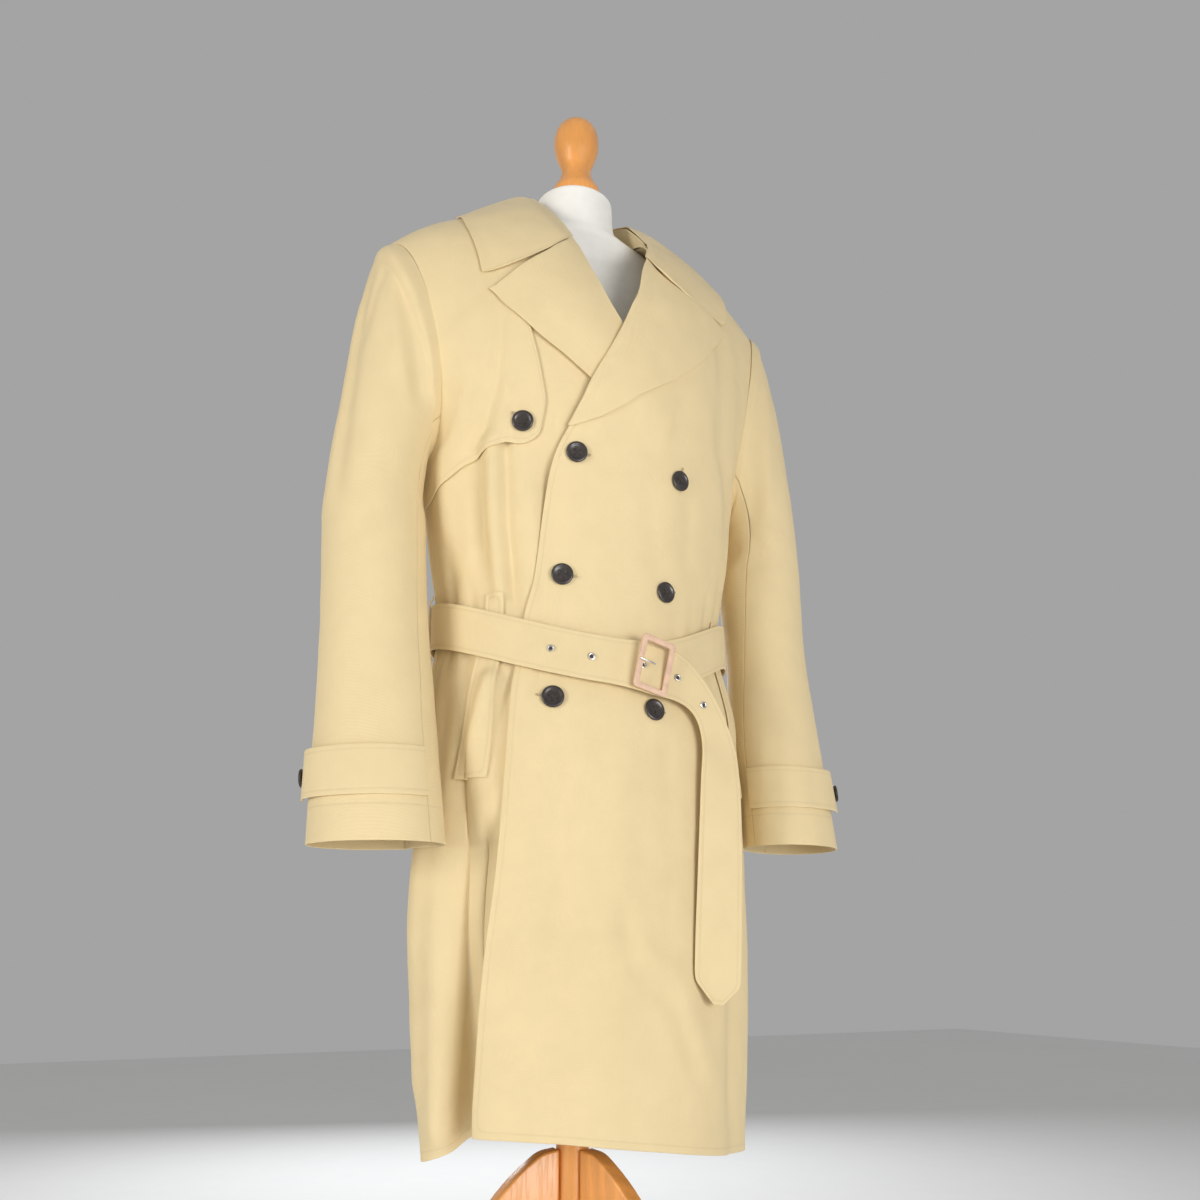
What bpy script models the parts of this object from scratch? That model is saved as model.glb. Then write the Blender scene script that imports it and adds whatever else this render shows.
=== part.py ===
"""Double-breasted trench coat worn by a limbless dress form on a turned wooden stand.

Metres, +Z up, wearer's front towards -Y, wearer's left towards +X.
The floor is z = 0 and the post stands on the Z axis before the final centring shift.
"""
import bmesh
import bpy
from math import atan2, cos, degrees, exp, pi, radians, sin, sqrt
from mathutils import Matrix, Vector
from mathutils.bvhtree import BVHTree

# ---------------------------------------------------------------- driving sizes
CLOTH = 0.0018          # wall of the coat's cloth
REST = 0.0004           # gap kept between a piece and what it lies on
REACH = 0.0120          # how far a piece is looked for above its place
MID_DEPTH = -0.010      # depth of the body's middle line
CHEST_Z = 1.250         # above this height the body's surface turns towards the shoulders
SIDE_W = 0.9980         # the panels stop just short of the side seams
TOP_V = 0.9985          # and of the shoulder seams
SLEEVE_GAP = 0.0022     # the sleeve's edge stands this far from the armhole
SLEEVE_GAP_PIT = 0.0050 # and this far under the arm, where the walls turn away from each other
SEAM_ANGLE = 0.30       # half of the gap at a sleeve seam, in degrees
LAP = 0.0030            # rise of the left front over the right front
LAP_CHEST = 0.0060      # the same near the lapels
FOLD_BRIDGE = 0.0030    # the same over the deep fold beside the left front's edge
PIT_Z = 1.065           # height of the armpits
BELT_WIDTH = 0.050
BUTTON_R = 0.0115
CUFF_BUTTON_R = 0.0095
LEG_BOARD = 0.020

# Body sections: height, half width, front depth, back depth, centre x, centre y
SECTIONS = (
    (0.365, 0.159, 0.120, 0.120, 0.004, -0.024),
    (0.600, 0.180, 0.122, 0.120, -0.002, -0.020),
    (0.780, 0.177, 0.120, 0.112, 0.002, -0.016),
    (0.886, 0.165, 0.112, 0.102, -0.001, -0.014),
    (0.985, 0.179, 0.120, 0.106, 0.001, -0.010),
    (1.065, 0.190, 0.126, 0.110, 0.000, -0.010),
)
HALF, FRONT, BACK, MID_X, MID_Y = 1, 2, 3, 4, 5     # columns of SECTIONS

# Hem line: angle, height
HEM = (
    (-180.0, 0.380),
    (-90.0, 0.374),
    (-72.0, 0.384),
    (-64.0, 0.400),
    (-30.0, 0.396),
    (0.0, 0.387),
    (45.0, 0.372),
    (90.0, 0.367),
    (180.0, 0.380),
)

# Folds of the body: top angle, bottom angle, top height, bottom height, depth, half width (degrees)
# A negative depth is a trough. Angle 0 is the centre front, 90 the wearer's left side.
FOLDS = (
    (-58.0, -66.0, 0.850, 0.360, -0.0200, 5.0),
    (-74.0, -84.0, 0.830, 0.360, 0.0110, 10.0),
    (-56.0, -57.0, 1.130, 0.900, -0.0100, 4.5),
    (-70.0, -74.0, 1.110, 0.930, 0.0050, 6.0),
    (-104.0, -112.0, 0.840, 0.360, -0.0140, 7.0),
    (-138.0, -134.0, 0.840, 0.360, 0.0110, 11.0),
    (-166.0, -160.0, 0.840, 0.360, -0.0120, 8.0),
    (172.0, 168.0, 0.830, 0.360, 0.0090, 10.0),
    (146.0, 141.0, 0.840, 0.360, -0.0120, 8.0),
    (112.0, 114.0, 0.830, 0.360, 0.0080, 11.0),
    (78.0, 76.0, 0.800, 0.360, -0.0070, 7.0),
    (66.0, 70.0, 0.830, 0.360, 0.0060, 9.0),
    (44.0, 46.0, 0.800, 0.360, -0.0040, 7.0),
    (8.0, 22.0, 0.760, 0.360, 0.0035, 12.0),
    (-22.0, -30.0, 0.760, 0.360, -0.0035, 8.0),
    (76.0, 72.0, 1.090, 0.930, -0.0060, 6.0),
    (-150.0, -150.0, 1.080, 0.930, -0.0060, 8.0),
    (150.0, 150.0, 1.080, 0.930, -0.0060, 8.0),
)

# Armhole: an ellipse in a leaning plane
ARMHOLE_CENTRE = Vector((0.2155, -0.008, 1.196))
ARMHOLE_TOP = Vector((0.0255, 0.002, 0.131))
ARMHOLE_FRONT = Vector((-0.0175, -0.056, 0.000))

# Neck point, where the shoulder seam meets the neckline, and the lines down to the centres
NECK_POINT = Vector((0.078, 0.006, 1.425))
FRONT_NECK = (
    (0.000, -0.145, 1.150),
    (0.000, -0.142, 1.235),
    (0.006, -0.118, 1.315),
    (0.040, -0.075, 1.378),
)
BACK_NECK = (
    (0.000, 0.106, 1.170),
    (0.000, 0.100, 1.290),
    (0.000, 0.072, 1.424),
    (0.048, 0.052, 1.433),
)
BACK_NECK_V = 0.60      # patch height of the neckline at the centre back
NECK_COLUMNS = 0.25     # share of the back's columns that end at the neckline
UPPER = 0.30            # nominal height of the upper patch

# Front edges, from the hem up the roll line to the neck: patch height v, place w (90 degrees = 1)
LEFT_EDGE = (
    (-2.400, -0.670),
    (-2.125, -0.627),
    (-1.850, -0.573),
    (-1.415, -0.500),
    (-0.887, -0.477),
    (-0.605, -0.435),
    (-0.494, -0.394),
    (-0.216, -0.339),
    (-0.104, -0.315),
    (-0.023, -0.289),
    (0.060, -0.256),
    (0.211, -0.182),
    (0.364, -0.053),
    (0.490, 0.037),
    (0.600, 0.075),
    (0.730, 0.096),
    (0.860, 0.060),
    (1.000, 0.004),
)
RIGHT_EDGE = (
    (-2.400, 0.260),
    (-0.100, 0.250),
    (0.090, 0.150),
    (0.211, 0.085),
    (0.364, -0.053),
    (0.475, -0.124),
    (0.587, -0.170),
    (0.689, -0.160),
    (0.860, -0.090),
    (1.000, -0.004),
)

# Sleeve sections: height, centre x, centre y, long half width, short half width
SLEEVE = (
    (0.6600, 0.234, -0.063, 0.0660, 0.0500),
    (0.8000, 0.236, -0.038, 0.0575, 0.0480),
    (0.9000, 0.239, -0.024, 0.0535, 0.0445),
    (1.0000, 0.242, -0.012, 0.0540, 0.0485),
)
CUFF_DROP = {-1: 0.007, 1: -0.006}      # the right sleeve hangs a little lower
SLEEVE_TWIST = {-1: -12.0, 1: 34.0}     # turn of the seams from the armhole to the cuff
SLEEVE_TURN = 40.0      # turn of a section's long side from the wearer's side
SLEEVE_SEAM_FRONT = 130.0
SLEEVE_SEAM_BACK = -125.0
CAP_SHARE = 0.36        # share of a sleeve's length that is its cap
CAP_PULL = 0.024        # how far the cap is flattened at the shoulder
PIT_EASE = -0.012       # and how far it stands out under the arm


# ---------------------------------------------------------------- small helpers
def clear_scene():
    """Remove every object of the open file."""
    for item in list(bpy.data.objects):
        bpy.data.objects.remove(item, do_unlink=True)


def lerp(a, b, t):
    """Straight mix of two numbers or vectors."""
    return a + (b - a) * t


def smooth(t):
    """Ease from 0 to 1."""
    t = min(max(t, 0.0), 1.0)
    return t * t * (3.0 - 2.0 * t)


def table(rows, key, column):
    """Read a column of a table at a key, eased between its rows."""
    if key <= rows[0][0]:
        return rows[0][column]
    for low, high in zip(rows, rows[1:]):
        if key <= high[0]:
            t = (key - low[0]) / (high[0] - low[0])
            return lerp(low[column], high[column], t)
    return rows[-1][column]


def curve(points, t):
    """Point at 0..1 on a smooth curve through evenly timed points."""
    spans = len(points) - 1
    place = min(max(t, 0.0), 1.0) * spans
    i = min(int(place), spans - 1)
    s = place - i
    p1 = points[i]
    p2 = points[i + 1]
    p0 = points[i - 1] if i > 0 else p1 * 2.0 - p2
    p3 = points[i + 2] if i + 2 <= spans else p2 * 2.0 - p1
    a = p1 * 2.0
    b = (p2 - p0) * s
    c = (p0 * 2.0 - p1 * 5.0 + p2 * 4.0 - p3) * (s * s)
    d = (p1 * 3.0 - p0 - p2 * 3.0 + p3) * (s * s * s)
    return (a + b + c + d) * 0.5


# ---------------------------------------------------------------- the coat's body
def fold_height(angle, z):
    """Sum of the folds' outward reach at an angle (degrees) and a height."""
    total = 0.0
    for top, bottom, z_top, z_bottom, depth, width in FOLDS:
        along = (z_top - z) / (z_top - z_bottom)
        if along <= 0.0:
            continue
        centre = lerp(top, bottom, min(along, 1.0))
        away = (angle - centre + 180.0) % 360.0 - 180.0
        rise = smooth(along * 2.2)
        if z_bottom > 0.5:
            rise *= smooth((1.0 - along) * 3.0)
        total += depth * rise * exp(-(away / width) ** 2)
    return total


def belt_height(angle):
    """Height of the belt's centre line: low at the front, level over the back."""
    turn = (angle + 180.0) % 360.0 - 180.0
    return 0.836 + 0.050 * smooth(turn / 65.0 if turn > 0.0 else -turn / 100.0)


def waist_nip(z, belt_z):
    """Cloth gathered inwards under the belt."""
    return -0.0030 * exp(-((z - belt_z) / 0.040) ** 2)


def shell(angle, z, off=0.0):
    """Point on the body below the armpits, moved out by off."""
    a = radians(angle)
    half = table(SECTIONS, z, HALF)
    depth = table(SECTIONS, z, FRONT if cos(a) > 0 else BACK)
    grow = off + fold_height(angle, z) + waist_nip(z, belt_height(angle))
    x = table(SECTIONS, z, MID_X) + (half + grow) * sin(a)
    y = table(SECTIONS, z, MID_Y) - (depth + grow) * cos(a)
    return Vector((x, y, z))


def armhole(side, phi):
    """Point of an armhole: 0 at the shoulder tip, 90 in front, 180 at the armpit."""
    a = radians(phi)
    p = ARMHOLE_CENTRE + ARMHOLE_TOP * cos(a) + ARMHOLE_FRONT * sin(a)
    return Vector((side * p.x, p.y, p.z))


def neck_point(side):
    """End of the shoulder seam at the neck."""
    return Vector((side * NECK_POINT.x, NECK_POINT.y, NECK_POINT.z))


def shoulder(side, t):
    """Shoulder seam from the neck (0) to the shoulder tip (1), slightly domed."""
    p = lerp(neck_point(side), armhole(side, 0.0), t)
    p.z += 0.009 * sin(pi * t) + 0.008 * sin(pi * t * t)
    return p


def front_centre(side, t):
    """Centre front from the armpit height (0) round the neckline to the neck point (1)."""
    rows = [shell(0.0, PIT_Z)] + [Vector((side * x, y, z)) for x, y, z in FRONT_NECK]
    return curve(rows + [neck_point(side)], t)


def back_centre(side, t):
    """Centre back from the armpit height (0) round the neckline to the neck point (1)."""
    rows = [shell(180.0, PIT_Z)] + [Vector((side * x, y, z)) for x, y, z in BACK_NECK]
    return curve(rows + [neck_point(side)], t)


def patch(bottom, top, inner, outer, u, v):
    """Coons patch: u from inner to outer, v from bottom to top."""
    ruled_v = lerp(bottom(u), top(u), v)
    ruled_u = lerp(inner(v), outer(v), u)
    low = lerp(bottom(0.0), bottom(1.0), u)
    high = lerp(top(0.0), top(1.0), u)
    return ruled_v + ruled_u - lerp(low, high, v)


def chest(w, v):
    """Front above the armpits: w from -1 (right armhole) to 1 (left armhole)."""
    side = -1 if w < 0.0 else 1
    return patch(
        lambda t: shell(90.0 * side * t, PIT_Z),
        lambda t: shoulder(side, t),
        lambda t: front_centre(side, t),
        lambda t: armhole(side, 180.0 - 180.0 * t),
        abs(w), v,
    )


def upper_back(w, v):
    """Back above the armpits: w from -1 (right armhole) to 1 (left armhole)."""
    side = -1 if w < 0.0 else 1
    return patch(
        lambda t: shell(180.0 - 90.0 * side * t, PIT_Z),
        lambda t: shoulder(side, t),
        lambda t: back_centre(side, t),
        lambda t: armhole(side, 180.0 + 180.0 * t),
        abs(w), v,
    )


def front_at(w, v):
    """Front surface: w times 90 degrees round from the centre, v up from the armpits."""
    return chest(w, v) if v > 0.0 else shell(90.0 * w, PIT_Z + v * UPPER)


def back_at(w, v):
    """Back surface, with w = 1 at the wearer's left side seam."""
    return upper_back(w, v) if v > 0.0 else shell(180.0 - 90.0 * w, PIT_Z + v * UPPER)


def moved_out(surface, w, v, off):
    """Point of a surface moved along its outward normal."""
    step = 0.004
    p = surface(w, v)
    across = surface(w + step, v) - surface(w - step, v)
    up = surface(w, v + step) - surface(w, v - step)
    normal = across.cross(up).normalized()
    if normal.dot(Vector((p.x, p.y, 0.02))) < 0.0:
        normal = -normal
    return p + normal * off


def edge_at(rows, v):
    """Place of a front's edge at a patch height."""
    return table(rows, v, 1)


def hem_v(w):
    """Patch height of the hem on the fronts at a place w."""
    return (table(HEM, 90.0 * w, 1) - PIT_Z) / UPPER


def left_rise(w, v):
    """How far the left front lies out where it laps over the right one."""
    high = lerp(LAP, LAP_CHEST, smooth((v + 0.30) / 0.25))
    over_fold = FOLD_BRIDGE * smooth((-w - 0.48) / 0.12) * smooth((-v - 1.20) / 0.50)
    high *= 1.0 - smooth((v - 0.75) / 0.25)
    return high * (1.0 - smooth((w - 0.30) / 0.30)) + over_fold


def sleeve_ring(side, z, phi):
    """Point of a level sleeve section: 0 outwards, 90 in front, 180 inwards."""
    turn = radians(SLEEVE_TURN)
    a = radians(phi + SLEEVE_TURN)
    along = table(SLEEVE, z, 3) * cos(a)
    across = table(SLEEVE, z, 4) * sin(a)
    x = table(SLEEVE, z, 1) + along * cos(turn) + across * sin(turn)
    y = table(SLEEVE, z, 2) + along * sin(turn) - across * cos(turn)
    low = (SLEEVE[-1][0] - z) / (SLEEVE[-1][0] - SLEEVE[0][0])
    return Vector((side * x, y, z - CUFF_DROP[side] * low))


def clear_of_body(side, p):
    """Push a point of a sleeve out of the coat's side."""
    flare = 0.20 * max(0.0, p.z - PIT_Z)
    mid_x = table(SECTIONS, p.z, MID_X)
    mid_y = table(SECTIONS, p.z, MID_Y)
    half = table(SECTIONS, p.z, HALF)
    depth = table(SECTIONS, p.z, FRONT if p.y < mid_y else BACK)
    angle = degrees(atan2((p.x - mid_x) / half, (mid_y - p.y) / depth))
    room = SLEEVE_ROOM + flare
    if side < 0 and p.z > PIT_Z - 0.050:
        room += 0.0060 * smooth((p.z - PIT_Z + 0.050) / 0.020)
    limit = shell(angle, p.z, room)
    reach = Vector((p.x - mid_x, p.y - mid_y)).length
    bound = Vector((limit.x - mid_x, limit.y - mid_y)).length
    if reach >= bound:
        return p
    return limit


def sleeve_at(side, t, phi):
    """Sleeve surface from the armhole (t = 0) to the cuff's edge (t = 1)."""
    p = free_sleeve(side, t, phi)
    if t <= SLEEVE_FREE:
        return p
    return lerp(p, clear_of_body(side, p), smooth((t - SLEEVE_FREE) / SLEEVE_FREE))


SLEEVE_ROOM = 0.0068    # room kept between the coat's side and the sleeve
SLEEVE_FREE = 0.012     # share of the sleeve beside the armhole that is left alone


def free_sleeve(side, t, phi):
    """The same as it would hang with nothing beside it."""
    top = SLEEVE[-1][0]
    if t >= CAP_SHARE:
        z = lerp(top, SLEEVE[0][0], (t - CAP_SHARE) / (1.0 - CAP_SHARE))
        return sleeve_ring(side, z, phi)
    under = (0.5 - 0.5 * cos(radians(phi))) ** 2
    start = armhole(side, phi) + Vector((side * lerp(SLEEVE_GAP, SLEEVE_GAP_PIT, under), 0.0, 0.0))
    end = sleeve_ring(side, top, phi)
    outward = 0.5 + 0.5 * cos(radians(phi))
    bend = Vector((end.x - side * lerp(PIT_EASE, CAP_PULL, outward), end.y, 0.0))
    bend.z = lerp(lerp(start.z, end.z, 0.45), start.z - 0.020, outward)
    bend.y = lerp(start.y, end.y, 0.5)
    s = t / CAP_SHARE
    return start * (1.0 - s) ** 2 + bend * (2.0 * s * (1.0 - s)) + end * (s * s)


def sleeve_out(side, t, phi, off):
    """Sleeve surface moved outwards."""
    step = 0.004
    p = sleeve_at(side, t, phi)
    along = sleeve_at(side, min(t + step, 1.0), phi) - sleeve_at(side, max(t - step, 0.0), phi)
    around = sleeve_at(side, t, phi + 1.0) - sleeve_at(side, t, phi - 1.0)
    return p + around.cross(along).normalized() * (off * side)


# ---------------------------------------------------------------- makers of solids
def material(name, colour, roughness, metallic=0.0):
    """Plain material of one piece."""
    found = bpy.data.materials.get(name)
    if found:
        return found
    made = bpy.data.materials.new(name)
    made.use_nodes = True
    shader = made.node_tree.nodes["Principled BSDF"]
    shader.inputs["Base Color"].default_value = (*colour, 1.0)
    shader.inputs["Roughness"].default_value = roughness
    shader.inputs["Metallic"].default_value = metallic
    return made


def cloth():
    return material("gabardine", (0.78, 0.62, 0.36), 0.75)


def wood():
    return material("beech", (0.72, 0.42, 0.20), 0.40)


def horn():
    return material("horn", (0.035, 0.028, 0.024), 0.30)


def steel():
    return material("nickel", (0.75, 0.74, 0.72), 0.25, 1.0)


def form_cloth():
    return material("form_cover", (0.85, 0.83, 0.78), 0.80)


def buckle_leather():
    return material("buckle_cover", (0.70, 0.50, 0.38), 0.50)


def add_object(name, mesh_builder, finish, smooth_angle=40.0):
    """Turn a bmesh into a named object with a material."""
    mesh = bpy.data.meshes.new(name)
    mesh_builder.to_mesh(mesh)
    mesh_builder.free()
    mesh.shade_smooth()
    mesh.set_sharp_from_angle(angle=radians(smooth_angle))
    mesh.materials.append(finish)
    made = bpy.data.objects.new(name, mesh)
    bpy.context.scene.collection.objects.link(made)
    return made


def sheet(name, place, columns, rows, wall=CLOTH, finish=None, flip=False):
    """Cloth wall: a grid laid on a surface and thickened outwards."""
    grid = bmesh.new()
    bmesh.ops.create_grid(grid, x_segments=columns, y_segments=rows, size=0.5)
    for vert in grid.verts:
        vert.co = place(vert.co.x + 0.5, vert.co.y + 0.5)
    if flip:
        bmesh.ops.reverse_faces(grid, faces=grid.faces)
    made = add_object(name, grid, finish or cloth())
    thick = made.modifiers.new("wall", 'SOLIDIFY')
    thick.thickness = wall
    thick.offset = 1.0
    return made


def solid_of(item):
    """Corner points, corner normals and faces of a finished piece."""
    bpy.context.view_layer.update()
    shaped = item.evaluated_get(bpy.context.evaluated_depsgraph_get())
    mesh = shaped.to_mesh()
    points = [(v.co.copy(), v.normal.copy()) for v in mesh.vertices]
    points += [(f.center.copy(), f.normal.copy()) for f in mesh.polygons]
    for edge in mesh.edges:
        one, two = (mesh.vertices[k] for k in edge.vertices)
        points.append(((one.co + two.co) * 0.5, (one.normal + two.normal).normalized()))
    corners = [v.co.copy() for v in mesh.vertices]
    faces = [tuple(f.vertices) for f in mesh.polygons]
    shaped.to_mesh_clear()
    return points, BVHTree.FromPolygons(corners, faces)


def body_out(point):
    """Direction that leads straight away from the worn coat's body."""
    return Vector((0.37 * point.x, point.y - MID_DEPTH, max(0.0, point.z - CHEST_Z))).normalized()


def lie_on(top, beneath, out=body_out, rounds=12):
    """Lift the points of a sheet until it clears the pieces beneath it."""
    below = [solid_of(item) for item in beneath]
    mesh = top.data
    spots = [(i / 4.0, j / 4.0) for i in range(5) for j in range(5)]
    for _ in range(rounds):
        lift = [0.0] * len(mesh.vertices)
        for face in mesh.polygons:
            corners = [mesh.vertices[k].co for k in face.vertices]
            for s, t in spots:
                point = lerp(lerp(corners[0], corners[1], s), lerp(corners[3], corners[2], s), t)
                way = out(point)
                for _, tree in below:
                    hit = tree.ray_cast(point + way * REACH, -way, REACH + REST)
                    if hit[0] is not None:
                        for k in face.vertices:
                            lift[k] = max(lift[k], REACH + REST - hit[3])
        own = BVHTree.FromPolygons([v.co for v in mesh.vertices], [tuple(f.vertices) for f in mesh.polygons])
        for points, _ in below:
            for point, normal in points:
                way = out(point)
                hit = own.ray_cast(point - way * REACH, way, REACH + REST)
                if hit[0] is not None and way.dot(normal) > 0.1:
                    for k in mesh.polygons[hit[2]].vertices:
                        lift[k] = max(lift[k], REACH + REST - hit[3])
        for vert, rise in zip(mesh.vertices, lift):
            vert.co += out(vert.co) * (rise * 1.02)
        if max(lift) < 0.00002:
            break
    mesh.update()
    return top


def rest_on(item, beneath, out):
    """Move a stiff piece along a direction until it just clears the pieces beneath it."""
    points, own = solid_of(item)
    far = 0.030
    moves = []
    for other in beneath:
        others, tree = solid_of(other)
        for point, _ in points:
            hit = tree.ray_cast(point + out * far, -out, 2.0 * far)
            if hit[0] is not None:
                moves.append(far - hit[3])
        for point, _ in others:
            hit = own.ray_cast(point - out * far, out, 2.0 * far)
            if hit[0] is not None:
                moves.append(far - hit[3])
    item.data.transform(Matrix.Translation(out * (max(moves) + REST)))
    return item


def turned(name, profile, steps, finish, at=(0.0, 0.0), smooth_angle=40.0):
    """Solid turned round an upright axis from radius and height pairs, bottom first."""
    lathe = bmesh.new()
    verts = [lathe.verts.new((at[0] + r, at[1], z)) for r, z in profile]
    edges = [lathe.edges.new(pair) for pair in zip(verts, verts[1:])]
    bmesh.ops.spin(lathe, geom=verts + edges, cent=(at[0], at[1], 0.0), axis=(0, 0, 1),
                   angle=2.0 * pi, steps=steps, use_merge=True)
    bmesh.ops.remove_doubles(lathe, verts=lathe.verts, dist=1e-6)
    bmesh.ops.recalc_face_normals(lathe, faces=lathe.faces)
    return add_object(name, lathe, finish, smooth_angle)


def tube_loft(name, ring, columns, rows, finish):
    """Closed solid through level rings, capped at both ends."""
    loft = bmesh.new()
    bmesh.ops.create_grid(loft, x_segments=columns, y_segments=rows, size=0.5)
    for vert in loft.verts:
        vert.co = ring(360.0 * (vert.co.x + 0.5), vert.co.y + 0.5)
    bmesh.ops.remove_doubles(loft, verts=loft.verts, dist=1e-6)
    bmesh.ops.holes_fill(loft, edges=[e for e in loft.edges if e.is_boundary])
    bmesh.ops.recalc_face_normals(loft, faces=loft.faces)
    return add_object(name, loft, finish)


# ---------------------------------------------------------------- body panels
def right_front():
    """Front that laps under, from the right side seam to beneath the left front."""
    def place(a, b):
        v = lerp(hem_v(lerp(-1.0, 0.26, a)), TOP_V, b)
        w = lerp(-SIDE_W, edge_at(RIGHT_EDGE, v), a)
        return front_at(w, v)
    return sheet("right_front", place, 22, 17)


def left_front():
    """Front that laps over, out to the wearer's right below the lapels."""
    def place(a, b):
        v = lerp(hem_v(lerp(-0.67, 1.0, a)), TOP_V, b)
        w = lerp(edge_at(LEFT_EDGE, v), SIDE_W, a)
        return moved_out(front_at, w, v, left_rise(w, v))
    return sheet("left_front", place, 22, 17)


def back():
    """Back in one piece, from side seam to side seam and up to the neckline."""
    def place(a, b):
        across = lerp(-1.0, 1.0, a)
        side = -1.0 if across < 0.0 else 1.0
        low = (table(HEM, 180.0, 1) - PIT_Z) / UPPER
        side_low = (table(HEM, 90.0 * side, 1) - PIT_Z) / UPPER
        low = lerp(low, side_low, abs(across) ** 4)
        if b <= BACK_LOWER:
            return back_at(across * SIDE_W, lerp(low, 0.0, b / BACK_LOWER))
        if abs(across) < NECK_COLUMNS:
            w_top = side * 0.001
            v_top = lerp(BACK_NECK_V, TOP_V, abs(across) / NECK_COLUMNS)
        else:
            w_top = side * lerp(0.001, SIDE_W, (abs(across) - NECK_COLUMNS) / (1.0 - NECK_COLUMNS))
            v_top = TOP_V
        rise = (b - BACK_LOWER) / (1.0 - BACK_LOWER)
        return back_at(lerp(across * SIDE_W, w_top, rise), lerp(0.0, v_top, rise))
    return sheet("back", place, 32, 15, flip=True)


BACK_LOWER = 9.0 / 15.0     # share of the back's rows below the armpits


# ---------------------------------------------------------------- chest pieces
FLAP_V = (
    # place w, patch height of the lower edge
    (-1.000, -0.165),
    (-0.944, -0.158),
    (-0.764, -0.100),
    (-0.651, -0.040),
    (-0.535, -0.004),
    (-0.479, 0.014),
    (-0.445, 0.006),
    (-0.400, 0.000),
    (-0.350, 0.000),
)
FLAP_EDGE = (
    # patch height, place w of the free front edge
    (0.000, -0.357),
    (0.108, -0.362),
    (0.184, -0.392),
    (0.258, -0.424),
    (0.342, -0.462),
    (0.414, -0.494),
    (1.000, -0.300),
)
FLAP_OFF = 0.0031
FLAP_CORNER = 0.090     # width of the flap's rounded corner, in w
FLAP_ROUND = 0.055      # and its height, in v


def gun_flap():
    """Loose flap on the right chest, sewn in at the shoulder and armhole."""
    def place(a, b):
        w = lerp(-0.955, edge_at(FLAP_EDGE, b), a)
        inside = min(1.0, max(0.0, (w - edge_at(FLAP_EDGE, b)) / FLAP_CORNER + 1.0))
        low = table(FLAP_V, w, 1) + FLAP_ROUND * (1.0 - sqrt(1.0 - inside ** 2))
        return moved_out(front_at, w, lerp(low, 0.990, b), FLAP_OFF)
    return sheet("gun_flap", place, 11, 11)


# Lapels: share up the roll line, edge place w, edge patch height v
RIGHT_LAPEL = (
    (0.000, 0.140, 0.105),
    (0.300, -0.075, 0.155),
    (0.450, -0.191, 0.205),
    (0.585, -0.301, 0.279),
    (0.720, -0.420, 0.352),
    (0.860, -0.541, 0.443),
    (0.970, -0.645, 0.522),
    (1.000, -0.669, 0.542),
)
LEFT_LAPEL = (
    (0.000, -0.245, 0.062),
    (0.180, -0.135, 0.093),
    (0.310, -0.055, 0.127),
    (0.440, 0.034, 0.169),
    (0.610, 0.173, 0.247),
    (0.740, 0.296, 0.325),
    (0.860, 0.438, 0.427),
    (1.000, 0.638, 0.590),
)
# Upper edge of each lapel, which the collar's end follows as far as the notch:
# share across, place w, patch height v
GORGE = {
    -1: (
        (0.00, 0.150, 0.700),
        (0.22, 0.210, 0.664),
        (0.45, 0.325, 0.623),
        (0.62, 0.441, 0.592),
        (0.82, 0.561, 0.555),
        (1.00, 0.669, 0.542),
    ),
    1: (
        (0.00, 0.088, 0.650),
        (0.15, 0.145, 0.607),
        (0.28, 0.210, 0.580),
        (0.45, 0.300, 0.570),
        (0.62, 0.399, 0.568),
        (0.82, 0.534, 0.578),
        (1.00, 0.638, 0.590),
    ),
}


def lapel(side, name, rows, v_low, base_in, base_out):
    """Facing turned back over the chest, from the roll line to its free edge."""
    roll = RIGHT_EDGE if side < 0 else LEFT_EDGE

    def place(a, b):
        v_roll = lerp(v_low, GORGE[side][0][2], b)
        w_roll = edge_at(roll, v_roll)
        w_out = table(rows, b, 1)
        v_out = table(rows, b, 2)
        w = lerp(w_roll, w_out, a)
        v = lerp(v_roll, v_out, a)
        top = smooth((b - 0.6) / 0.4) ** 2
        w = lerp(w, side * table(GORGE[side], a, 1), top)
        v = lerp(v, table(GORGE[side], a, 2), top)
        width = abs(w_out - w_roll)
        lift = 0.0075 * smooth(width / 0.35) * sin(pi * a) * (1.0 - 0.4 * a)
        return moved_out(front_at, w, v, lerp(base_in, base_out, smooth(a * 1.4)) + lift)
    return sheet(name, place, 8, 10, flip=side < 0)


# Collar, from the lapel's end round to the centre back:
# share, neck w, neck v, edge w, edge v, roll x, roll y, roll z (fronts first, then the back)
COLLAR_FRONT = (
    (0.00, 0.130, 0.740, 0.688, 0.610, 0.0530, -0.0920, 1.352),
    (0.50, 0.060, 0.870, 0.645, 0.790, 0.0600, -0.0600, 1.396),
    (1.00, 0.001, 1.000, 0.500, 1.000, 0.0650, -0.0080, 1.450),
)
COLLAR_BACK = (
    (0.00, 0.001, 1.000, 0.500, 1.000, 0.0650, -0.0080, 1.450),
    (0.33, 0.001, 0.860, 0.340, 0.840, 0.0620, 0.0330, 1.470),
    (0.67, 0.001, 0.720, 0.180, 0.590, 0.0400, 0.0600, 1.480),
    (1.00, 0.001, 0.600, 0.001, 0.545, 0.0000, 0.0690, 1.484),
)
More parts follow.
